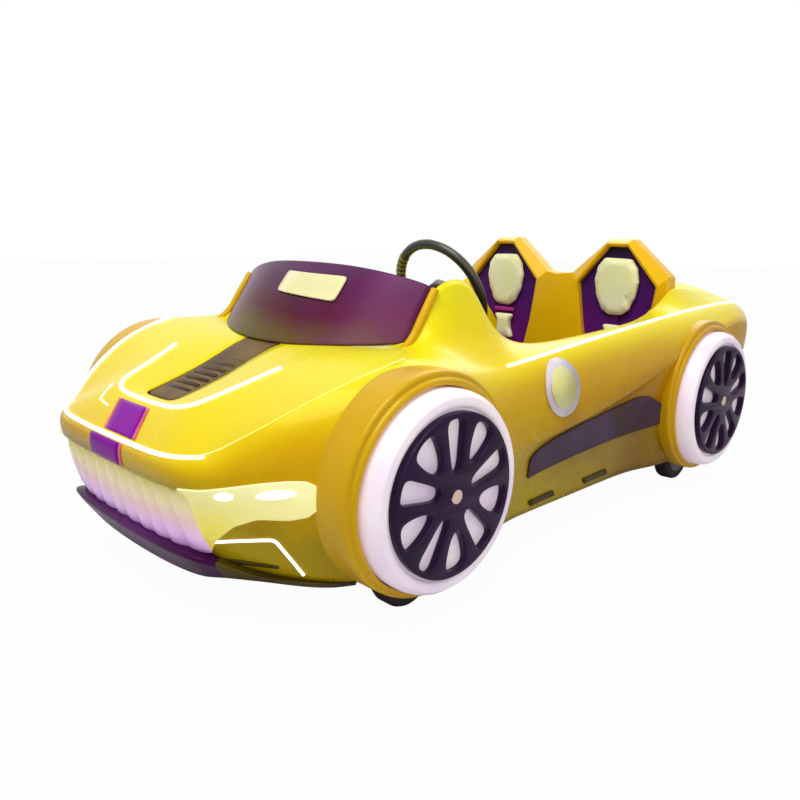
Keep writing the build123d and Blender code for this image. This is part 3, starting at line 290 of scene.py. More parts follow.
@dataclass(frozen=True)
class Finish:
    """One surface finish.

    The colour drifts towards a second one, wears towards a third, and may change with height and
    with how far the surface faces up; on the gold body paint these are painted shade, darker
    towards the bottom, and painted light on faces that look up.
    """

    title: str
    slot: Slot
    colour: Colour
    drift: Colour
    worn: Colour
    gloss: float = 0.4
    swing: float = 0.15
    wear: float = 0.15
    drift_scale: float = 3.0
    drift_amount: float = 1.0
    relief: Relief = Relief.GRAIN
    relief_scale: float = 600.0
    relief_depth: float = 0.15
    metallic: float = 0.0
    coat: float = 0.0
    shine: float = 0.5
    tint: Colour = (1.0, 1.0, 1.0)
    sheen: float = 0.0
    transmission: float = 0.0
    glow: float = 0.0
    bands: tuple[tuple[float, Colour], ...] = ()
    heights: Flat = (0.0, 0.7)
    ragged: float = 0.1
    # share of the colour that follows how far the surface faces up: painted light on upward faces
    facing: float = 0.0

    def material(self) -> bpy.types.Material:
        """Builds the finish once and gives it again after that.

        Returns:
            The material.
        """
        made = bpy.data.materials.get(self.title)
        if made:
            return made
        made = bpy.data.materials.new(self.title)
        made.use_nodes = True
        tree = made.node_tree
        shader = tree.nodes["Principled BSDF"]
        place = tree.nodes.new("ShaderNodeTexCoord").outputs["Object"]
        toned = {
            "Place": place,
            "Base": self.banded(tree, place) if self.bands else solid(self.colour),
            "Drift": solid(self.drift),
            "Worn": solid(self.worn),
            "Drift Scale": self.drift_scale,
            "Drift Amount": self.drift_amount,
            "Wear": self.wear,
            "Gloss": self.gloss - self.swing / 2,
            "Gloss Swing": self.swing,
        }
        tone = node(tree, "Group", toned, node_tree=Shading.tone()).outputs
        fine = {"Place": place, "Scale": self.relief_scale}
        height = node(tree, "Group", fine, node_tree=Shading.relief(self.relief)).outputs["Height"]
        bumped = {"Strength": self.relief_depth, "Distance": 0.001, "Height": height}
        dressed = {
            "Base Color": tone["Colour"],
            "Roughness": tone["Roughness"],
            "Normal": node(tree, "Bump", bumped).outputs["Normal"],
            "Metallic": self.metallic,
            "Specular IOR Level": self.shine,
            "Specular Tint": solid(self.tint),
            "Coat Weight": self.coat,
            "Coat Roughness": 0.05,
            "Sheen Weight": self.sheen,
            "Transmission Weight": self.transmission,
        }
        if self.glow:
            dressed["Emission Color"] = tone["Colour"]
            dressed["Emission Strength"] = self.glow
        feed(tree, shader, dressed)
        return made

    def banded(self, tree: Tree, place: bpy.types.NodeSocket) -> bpy.types.NodeSocket:
        """Makes the base colour change with height and with how far the surface faces up; on the
        gold body paint this paints shade low down and light on upward faces.

        Args:
            tree: the material's node tree.
            place: the surface point.

        Returns:
            The socket that gives the colour.
        """
        low, high = self.heights
        risen = {"Place": place, "Low": low, "High": high, "Ragged": self.ragged}
        rise = node(tree, "Group", risen, node_tree=Shading.rise()).outputs["Share"]
        # how far the surface faces up, which paints light on upward faces
        painted_top_light = node(tree, "Attribute", {}, attribute_name="facing_up_for_painted_light").outputs["Fac"]
        level = node(tree, "Mix", {0: self.facing, 2: rise, 3: painted_top_light}).outputs[0]
        ramp = node(tree, "ValToRGB", {"Fac": level})
        stops = ramp.color_ramp.elements
        for index, (share, colour) in enumerate(self.bands):
            stop = stops[index] if index < 2 else stops.new(share)
            stop.position = share
            stop.color = solid(colour)
        return ramp.outputs["Color"]


# Gold body paint whose colour bands paint shade, darker towards the bottom of the body, and paint
# light, lighter where the surface faces up.
GOLD_PAINT_AND_SHADE = Finish(
    "Gold body paint with painted light and shade", Slot.GOLD, (0.7, 0.42, 0.003), (0.82, 0.66, 0.004), (0.5, 0.26, 0.002),
    gloss=0.27, swing=0.08, wear=0.08, drift_amount=0.4, relief=Relief.PEEL, relief_scale=90.0,
    relief_depth=0.03, coat=0.06, shine=0.3, tint=(1.0, 0.75, 0.15),
    bands=(
        (0.0, (0.24, 0.115, 0.001)), (1.0, (0.88, 0.8, 0.01)), (0.12, (0.44, 0.205, 0.001)),
        (0.28, (0.54, 0.26, 0.001)), (0.5, (0.7, 0.39, 0.001)), (0.76, (0.82, 0.63, 0.003)),
    ),
    heights=(0.1, 0.6), facing=0.5,
)
DEEP_GOLD = Finish(
    "Deep gold moulding", Slot.GOLD, (0.6, 0.33, 0.001), (0.74, 0.48, 0.002), (0.38, 0.2, 0.001),
    gloss=0.32, drift_amount=0.5, relief=Relief.PEEL, relief_scale=110.0, relief_depth=0.04,
    coat=0.1, shine=0.35, tint=(1.0, 0.8, 0.25),
)
SEAT_GOLD = replace(
    DEEP_GOLD, title="Warm gold seat wall", colour=(0.88, 0.48, 0.002), drift=(0.92, 0.58, 0.004),
    worn=(0.6, 0.32, 0.001),
)
# Glowing lime finish that paints a highlight along the near fender's crest, where no lamp is.
RIDGE_HIGHLIGHT_LIME = Finish(
    "Lime painted ridge highlight", Slot.LAMP, (0.92, 0.86, 0.1), (0.98, 0.92, 0.3), (0.8, 0.7, 0.05),
    gloss=0.3, wear=0.05, relief_depth=0.02, glow=0.2,
)
VENT_OLIVE = Finish(
    "Olive vent plastic", Slot.TRIM, (0.15, 0.088, 0.01), (0.075, 0.03, 0.012), (0.24, 0.15, 0.02),
    gloss=0.45, drift_scale=9.0, relief_depth=0.1, shine=0.25,
)
WHITE_LINE = replace(
    RIDGE_HIGHLIGHT_LIME, title="Lit white line", colour=(1.0, 0.96, 0.9), drift=(1.0, 0.88, 0.95),
    worn=(0.9, 0.85, 0.8), glow=1.1,
)
HEADLIGHT_LENS = Finish(
    "Headlight lens", Slot.LAMP, (0.95, 0.85, 0.25), (1.0, 0.93, 0.55), (0.8, 0.6, 0.05),
    gloss=0.12, wear=0.1, drift_scale=9.0, drift_amount=0.35, relief_depth=0.02, coat=0.2,
    glow=0.22,
    bands=((0.0, (0.78, 0.64, 0.06)), (1.0, (0.93, 0.9, 0.42)), (0.45, (0.86, 0.74, 0.06))),
    heights=(0.13, 0.31), ragged=0.03,
)
GRILLE_MILK = Finish(
    "Milky lit grille", Slot.LAMP, (0.9, 0.7, 0.8), (0.95, 0.8, 0.7), (0.6, 0.35, 0.6), gloss=0.25,
    wear=0.2, drift_scale=7.0, drift_amount=0.15, relief_depth=0.05, coat=0.15, glow=0.16,
    bands=(
        (0.0, (0.66, 0.3, 0.86)), (1.0, (0.8, 0.7, 0.2)), (0.33, (0.84, 0.55, 0.92)),
        (0.52, (0.86, 0.58, 0.6)), (0.72, (0.84, 0.74, 0.44)),
    ),
    heights=(0.145, 0.285), ragged=0.02,
)
PURPLE_GLOSS = Finish(
    "Purple gloss plastic", Slot.TRIM, (0.04, 0.003, 0.045), (0.085, 0.006, 0.1),
    (0.02, 0.006, 0.012), gloss=0.25, wear=0.3, drift_scale=5.0, relief_depth=0.03, shine=0.15,
    tint=(1.0, 0.3, 1.0),
)
OLIVE_TRIM = Finish(
    "Dark olive trim", Slot.TRIM, (0.03, 0.017, 0.002), (0.08, 0.055, 0.002), (0.02, 0.01, 0.006),
    gloss=0.35, drift_scale=8.0, relief_depth=0.1, shine=0.2,
)
STRIPE_PURPLE = Finish(
    "Purple stripe", Slot.TRIM, (0.27, 0.001, 0.31), (0.23, 0.002, 0.36), (0.45, 0.02, 0.35),
    gloss=0.18, drift_scale=14.0, relief_depth=0.02, shine=0.06,
)
STRIPE_RED = replace(
    STRIPE_PURPLE, title="Red stripe edge", colour=(0.62, 0.04, 0.12), drift=(0.75, 0.12, 0.2),
    worn=(0.5, 0.02, 0.08), coat=0.05, shine=0.25,
)
SKIRT_PLUM = Finish(
    "Plum skirt plastic", Slot.TRIM, (0.055, 0.026, 0.034), (0.085, 0.045, 0.1),
    (0.09, 0.065, 0.004), gloss=0.45, shine=0.12, wear=0.6, drift_scale=9.0, relief_depth=0.08,
)
TINTED_SCREEN = Finish(
    "Tinted screen", Slot.SCREEN, (0.1, 0.01, 0.03), (0.16, 0.012, 0.11), (0.1, 0.04, 0.012),
    gloss=0.28, swing=0.06, wear=0.3, drift_scale=4.5, relief_depth=0.01, drift_amount=0.6,
    transmission=0.06, shine=0.14, tint=(1.0, 0.5, 0.9),
    bands=(
        (0.0, (0.12, 0.09, 0.006)), (1.0, (0.095, 0.035, 0.095)), (0.34, (0.075, 0.006, 0.006)),
        (0.72, (0.06, 0.01, 0.045)),
    ),
    heights=(0.535, 0.675), ragged=0.07,
)
PLATE_YELLOW = Finish(
    "Pale blank plate", Slot.TRIM, (0.8, 0.74, 0.34), (0.86, 0.82, 0.5), (0.6, 0.5, 0.2),
    gloss=0.35, drift_scale=12.0, relief_depth=0.06,
)
COVER_GLOW = Finish(
    "Lit wheel cover", Slot.COVER, (0.74, 0.6, 0.76), (0.84, 0.74, 0.78), (0.66, 0.48, 0.74),
    gloss=0.3, wear=0.3, drift_scale=6.0, relief_depth=0.04, coat=0.2, glow=0.29,
)
SPOKE_GLOSS = Finish(
    "Purple-black spokes", Slot.SPOKE, (0.012, 0.005, 0.02), (0.028, 0.008, 0.042),
    (0.06, 0.03, 0.08), gloss=0.3, wear=0.2, drift_scale=8.0, relief_depth=0.04, shine=0.18,
    tint=(0.8, 0.6, 1.0),
)
HUB_PEACH = Finish(
    "Peach hub cap", Slot.SPOKE, (0.75, 0.5, 0.38), (0.85, 0.62, 0.5), (0.5, 0.3, 0.25), gloss=0.3,
    relief_depth=0.05,
)
LINER_PLUM = Finish(
    "Plum seat liner", Slot.UPHOLSTERY, (0.055, 0.008, 0.09), (0.08, 0.008, 0.15),
    (0.03, 0.01, 0.02), gloss=0.5, drift_scale=7.0, drift_amount=0.3, relief=Relief.LEATHER,
    relief_scale=420.0, relief_depth=0.35, shine=0.2,
    bands=(
        (0.0, (0.15, 0.005, 0.17)), (1.0, (0.01, 0.006, 0.01)), (0.45, (0.075, 0.004, 0.14)),
        (0.8, (0.045, 0.004, 0.09)),
    ),
    heights=(0.38, 0.7), ragged=0.03,
)
PAD_CREAM = Finish(
    "Cream seat pad", Slot.PAD, (0.95, 0.95, 0.44), (0.97, 0.97, 0.62), (0.7, 0.62, 0.14),
    gloss=0.5, wear=0.25, drift_scale=9.0, relief=Relief.LEATHER, relief_scale=520.0,
    relief_depth=0.3, sheen=0.15,
)
BADGE_CREAM = Finish(
    "Pale badge face", Slot.COVER, (0.72, 0.68, 0.22), (0.8, 0.78, 0.45), (0.5, 0.45, 0.2),
    gloss=0.3, drift_scale=14.0, relief_depth=0.05,
)
BADGE_RING = replace(
    BADGE_CREAM, title="Lavender badge ring", colour=(0.66, 0.58, 0.66), drift=(0.75, 0.7, 0.72),
    worn=(0.45, 0.38, 0.45),
)
MAGENTA_BAR = Finish(
    "Magenta cross bar", Slot.PAD, (0.45, 0.01, 0.22), (0.6, 0.03, 0.35), (0.3, 0.01, 0.12),
    gloss=0.3, relief_depth=0.05,
)
WHEEL_RIM_BLACK = Finish(
    "Black wheel grip", Slot.GRIP, (0.012, 0.012, 0.008), (0.03, 0.028, 0.012), (0.05, 0.05, 0.03),
    gloss=0.35, drift_scale=6.0, relief=Relief.LEATHER, relief_scale=500.0, relief_depth=0.2,
    coat=0.2,
)
GRIP_OLIVE = Finish(
    "Olive ribbed grip", Slot.GRIP, (0.26, 0.25, 0.015), (0.4, 0.38, 0.04), (0.1, 0.1, 0.01),
    drift_scale=9.0,
)
RUBBER = Finish(
    "Road tyre rubber", Slot.TYRE, (0.022, 0.012, 0.018), (0.035, 0.02, 0.028), (0.07, 0.06, 0.06),
    gloss=0.65, wear=0.4, drift_scale=11.0, relief_depth=0.3,
)
HUB_GREY = Finish(
    "Hub plastic", Slot.HUB, (0.16, 0.14, 0.16), (0.22, 0.2, 0.22), (0.1, 0.08, 0.1), gloss=0.45,
)
FRAME_BLACK = Finish(
    "Powder-coated frame", Slot.FRAME, (0.03, 0.03, 0.032), (0.045, 0.045, 0.048),
    (0.11, 0.08, 0.06), gloss=0.45, wear=0.35, relief_scale=900.0, relief_depth=0.3,
)
ZINC_STEEL = Finish(
    "Zinc-plated steel", Slot.STEEL, (0.42, 0.42, 0.44), (0.52, 0.5, 0.46), (0.3, 0.28, 0.25),
    gloss=0.35, relief=Relief.BRUSHED, metallic=0.9,
)
MOTOR_GREY = Finish(
    "Motor case", Slot.MOTOR, (0.08, 0.08, 0.09), (0.12, 0.12, 0.13), (0.2, 0.2, 0.2),
    relief_depth=0.3, metallic=0.4,
)
BATTERY_BLACK = Finish(
    "Battery case", Slot.BATTERY, (0.02, 0.02, 0.022), (0.035, 0.035, 0.038), (0.08, 0.08, 0.08),
    gloss=0.5, relief_depth=0.25,
)
FLOOR_GREY = Finish(
    "Ribbed floor plastic", Slot.FLOOR, (0.035, 0.025, 0.03), (0.05, 0.035, 0.045),
    (0.09, 0.07, 0.07), gloss=0.55, wear=0.35, relief=Relief.LEATHER, relief_scale=260.0,
    relief_depth=0.5,
)
DASH_BLACK = Finish(
    "Dash moulding", Slot.TRIM, (0.03, 0.018, 0.02), (0.05, 0.03, 0.035), (0.09, 0.06, 0.05),
    gloss=0.5, relief=Relief.LEATHER, relief_scale=300.0, relief_depth=0.4,
)
TAIL_RED = Finish(
    "Red tail lens", Slot.LAMP, (0.75, 0.05, 0.06), (0.9, 0.12, 0.1), (0.5, 0.02, 0.03),
    gloss=0.15, drift_scale=12.0, relief_depth=0.03, coat=0.8, glow=0.25,
)


def metres(rows: Iterable[Sequence[float]]) -> list[tuple[float, ...]]:
    """Turns a row of points in millimetres into metres."""
    return [tuple(value / 1000 for value in row) for row in rows]


def neighbours(row: Sequence, closed: bool) -> list[tuple]:
    """Pairs each member of a row with the next one.

    Args:
        row: the members in order.
        closed: True if the last one joins the first.

    Returns:
        The pairs.
    """
    following = list(row[1:]) + ([row[0]] if closed else [])
    return list(zip(row, following))


def verts_of(items: Iterable) -> Verts:
    """The vertices among what an operator gives back."""
    return [item for item in items if isinstance(item, bmesh.types.BMVert)]


def open_edges(mesh: Mesh) -> list[bmesh.types.BMEdge]:
    """The edges that only one face uses."""
    return [edge for edge in mesh.edges if edge.is_boundary]


def chain(mesh: Mesh, points: Iterable[Point], closed: bool = False) -> Verts:
    """Starts a surface as a chain of edges through points.

    Args:
        mesh: the mesh that gets the chain.
        points: the chain's points.
        closed: True for a loop.

    Returns:
        The chain's vertices in order.
    """
    verts = [mesh.verts.new(point) for point in points]
    for pair in neighbours(verts, closed):
        mesh.edges.new(pair)
    return verts


def draw_on(mesh: Mesh, row: Verts, points: Sequence[Point], closed: bool = False) -> Verts:
    """Extrudes a chain of edges on to new points.

    Args:
        mesh: the mesh that holds the chain.
        row: the chain's vertices.
        points: where they go.
        closed: True for a loop.

    Returns:
        The new chain's vertices in order.
    """
    edges = [mesh.edges.get(pair) for pair in neighbours(row, closed)]
    fresh = set(verts_of(bmesh.ops.extrude_edge_only(mesh, edges=edges)["geom"]))
    drawn = []
    for vert, point in zip(row, points):
        twin = next(e.other_vert(vert) for e in vert.link_edges if e.other_vert(vert) in fresh)
        twin.co = point
        drawn.append(twin)
    return drawn


def draw_surface(
    rows: Sequence[Sequence[Point]], closed: bool = False
) -> tuple[Mesh, list[Verts]]:
    """Draws a surface from row to row.

    Args:
        rows: the rows of points, all of one length.
        closed: True if each row is a loop.

    Returns:
        The mesh and its rows of vertices.
    """
    mesh = bmesh.new()
    lines = [chain(mesh, rows[0], closed)]
    for row in rows[1:]:
        lines.append(draw_on(mesh, lines[-1], row, closed))
    return mesh, lines


def face_out(mesh: Mesh) -> None:
    """Turns all faces outwards."""
    bmesh.ops.recalc_face_normals(mesh, faces=mesh.faces[:])


def whole(mesh: Mesh) -> list:
    """Everything that a mesh holds."""
    return mesh.verts[:] + mesh.edges[:] + mesh.faces[:]


def mirrored(mesh: Mesh) -> Mesh:
    """Adds the other half across x = 0 and joins the two.

    Args:
        mesh: the half.

    Returns:
        The same mesh.
    """
    bmesh.ops.mirror(mesh, geom=whole(mesh), axis="X", merge_dist=MIRROR_GAP)
    bmesh.ops.remove_doubles(mesh, verts=mesh.verts[:], dist=MIRROR_GAP)
    return mesh


def both_sides(mesh: Mesh) -> Mesh:
    """Adds a separate copy on the other side of x = 0.

    Args:
        mesh: the mesh.

    Returns:
        The same mesh.
    """
    copied = bmesh.ops.duplicate(mesh, geom=whole(mesh))["geom"]
    faces = [item for item in copied if isinstance(item, bmesh.types.BMFace)]
    bmesh.ops.scale(mesh, vec=(-1.0, 1.0, 1.0), verts=verts_of(copied))
    bmesh.ops.reverse_faces(mesh, faces=faces)
    return mesh


def set_down(mesh: Mesh, place: Point, turn: Matrix, verts: Verts | None = None) -> None:
    """Turns vertices about the origin and moves them to their place.

    Args:
        mesh: the mesh.
        place: how far they move.
        turn: the turn.
        verts: the vertices, or all of them.
    """
    moved = verts or mesh.verts[:]
    bmesh.ops.rotate(mesh, cent=ORIGIN, matrix=turn, verts=moved)
    bmesh.ops.translate(mesh, vec=place, verts=moved)


def turn_by(degrees: float, axis: str) -> Matrix:
    """A turn about one of the main axes."""
    return Matrix.Rotation(math.radians(degrees), 3, axis)


def add_mesh(target: Mesh, added: Mesh) -> None:
    """Moves one mesh into another.

    Args:
        target: the mesh that grows.
        added: the mesh that is used up.
    """
    data = bpy.data.meshes.new("part")
    added.to_mesh(data)
    added.free()
    target.from_mesh(data)
    bpy.data.meshes.remove(data)


def spin_round(mesh: Mesh, verts: Verts, steps: int, centre: Point, axis: Point) -> None:
    """Spins a chain of vertices all the way round an axis and closes the seam.

    Args:
        mesh: the mesh that holds only the chain.
        verts: the chain.
        steps: the segments round the axis.
        centre: a point of the axis.
        axis: the axis.
    """
    bmesh.ops.spin(
        mesh,
        geom=verts + mesh.edges[:],
        cent=centre,
        axis=axis,
        angle=math.tau,
        steps=steps,
        use_merge=True,
    )
    bmesh.ops.remove_doubles(mesh, verts=mesh.verts[:], dist=SPIN_GAP)


def spun(profile: Sequence[Flat], steps: int, centre: Point, axis: Point = ALONG_X) -> Mesh:
    """Spins a profile of (along the axis, radius) points into a round piece.

    Args:
        profile: the points, from one end of the piece to the other.
        steps: the segments round the axis.
        centre: the point of the axis that profile distances start from.
        axis: the direction of the axis.

    Returns:
        The mesh.
    """
    mesh = bmesh.new()
    turn = Vector((0.0, 0.0, 1.0)).rotation_difference(Vector(axis)).to_matrix()
    places = [turn @ Vector((radius, 0.0, along)) + Vector(centre) for along, radius in profile]
    spin_round(mesh, chain(mesh, places), steps, centre, axis)
    face_out(mesh)
    return mesh


def slab(outline: Sequence[Point], offset: Point) -> Mesh:
    """Fills an outline and extrudes it into a slab.

    Args:
        outline: the corners in order.
        offset: how far the far face lies from the outline.

    Returns:
        The mesh.
    """
    mesh = bmesh.new()
    face = mesh.faces.new([mesh.verts.new(point) for point in outline])
    made = bmesh.ops.extrude_face_region(mesh, geom=[face])["geom"]
    bmesh.ops.translate(mesh, vec=offset, verts=verts_of(made))
    face_out(mesh)
    return mesh


def soften(mesh: Mesh, width: float, segments: int = 2, sharper_than: float = 25.0) -> None:
    """Rounds the edges that turn by more than an angle.

    Args:
        mesh: the mesh.
        width: the round's width.
        segments: the faces across each round.
        sharper_than: the least turn in degrees.
    """
    limit = math.radians(sharper_than)
    bmesh.ops.bevel(
        mesh,
        geom=[e for e in mesh.edges if len(e.link_faces) == 2 and e.calc_face_angle(0.0) > limit],
        offset=width,
        affect="EDGES",
        segments=segments,
        profile=0.5,
        material=-1,
        clamp_overlap=True,
    )


@dataclass
class Builder:
    """Turns meshes and curves into finished pieces on their bodies."""

    made: list[str] = field(default_factory=list)

    def stand(
        self,
        name: str,
        mesh: Mesh,
        finish: Finish,
        nodes: Sequence[str] = (),
        body: str = Part.CAR.value,
        levels: int = 0,
        wall: float = 0.0,
        inward: float = 0.0,
        edge: float = 0.0,
        smooth_to: float = 40.0,
        outward: bool = True,
    ) -> bpy.types.Object:
        """Makes a mesh a finished piece of the car.

        Args:
            name: the piece's name.
            mesh: the shape; it is freed.
            finish: the surface finish.
            nodes: the frame's nodes that the piece stands for.
            body: the body it moves with.
            levels: subdivision levels.
            wall: wall thickness of an open surface.
            inward: the side of the surface that the wall lies on.
            edge: width of rounded edges.
            smooth_to: the angle past which an edge stays sharp.
            outward: True to turn the faces outwards first.

        Returns:
            The new object.
        """
        if outward:
            face_out(mesh)
        data = bpy.data.meshes.new(name)
        mesh.to_mesh(data)
        mesh.free()
        data.shade_smooth()
        data.set_sharp_from_angle(angle=math.radians(smooth_to))
        made = bpy.data.objects.new(name, data)
        bpy.context.scene.collection.objects.link(made)
        if levels:
            smooth = made.modifiers.new("Smooth", "SUBSURF")
            smooth.levels = smooth.render_levels = levels
        if wall:
            thick = made.modifiers.new("Wall", "SOLIDIFY")
            thick.thickness = wall
            thick.offset = inward
        if edge:
            rounded = made.modifiers.new("Edge", "BEVEL")
            rounded.width = edge
            rounded.segments = 2
            rounded.limit_method = "ANGLE"
            rounded.angle_limit = math.radians(35.0)
        return self.place(made, finish, nodes, body)

    def sheet(
        self,
        name: str,
        rows: Sequence[Sequence[Point]],
        finish: Finish,
        nodes: Sequence[str] = (),
        wall: float = 0.004,
        levels: int = 1,
        smooth_to: float = 40.0,
    ) -> None:
        """Makes a thin sheet, drawn from row to row, a piece of the car.

        Args:
            name: the piece's name.
            rows: the rows of points.
            finish: the surface finish.
            nodes: the frame's nodes that the piece stands for.
            wall: the sheet's thickness.
            levels: subdivision levels.
            smooth_to: the angle past which an edge stays sharp.
        """
        mesh, _ = draw_surface(rows)
        self.stand(name, mesh, finish, nodes, wall=wall, levels=levels, smooth_to=smooth_to)

    def tube(
        self,
        name: str,
        points: Sequence[Point],
        radius: float,
        finish: Finish,
        nodes: Sequence[str] = (),
        order: int = 4,
        mirror: bool = False,
    ) -> None:
        """Makes a round line of light or trim along a smooth curve.

        Args:
            name: the piece's name.
            points: the curve's control points.
            radius: the line's radius.
            finish: the surface finish.
            nodes: the frame's nodes that it stands for.
            order: the curve's order.
            mirror: True for a second line on the other side.
        """
        curve = bpy.data.curves.new(name, "CURVE")
        curve.dimensions = "3D"
        curve.bevel_depth = radius
        curve.bevel_resolution = 3
        curve.resolution_u = 10
        curve.use_fill_caps = True
        for side in (1.0, -1.0) if mirror else (1.0,):
            spline = curve.splines.new("NURBS")
            spline.points.add(len(points) - 1)
            for knot, (x, y, z) in zip(spline.points, points):
                knot.co = (x * side, y, z, 1.0)
            spline.order_u = min(order, len(points))
            spline.use_endpoint_u = True
        made = bpy.data.objects.new(name, curve)
        bpy.context.scene.collection.objects.link(made)
        self.place(made, finish, nodes, Part.CAR.value)

    def place(
        self, made: bpy.types.Object, finish: Finish, nodes: Sequence[str], body: str
    ) -> bpy.types.Object:
        """Gives a piece its finish, body and nodes.

        Args:
            made: the piece.
            finish: the surface finish.
            nodes: the frame's nodes that it stands for.
            body: the body it moves with.

        Returns:
            The same piece.
        """
        made.data.materials.append(finish.material())
        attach(made, body)
        if nodes:
            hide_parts(*nodes)
        self.made.append(made.name)
        LOG.info("made %s", made.name)
        return made

    @staticmethod
    def dress(name: str, finish: Finish) -> None:
        """Gives a node of the frame its finish.

        Args:
            name: the node's name.
            finish: the surface finish.
        """
        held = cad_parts[name]
        if not held.material_slots:
            held.data.materials.append(None)
        for kept in held.material_slots:
            kept.material = finish.material()


@dataclass
class Assembly:
    """A sub-assembly of the car, with the builder that makes its pieces."""

    builder: Builder


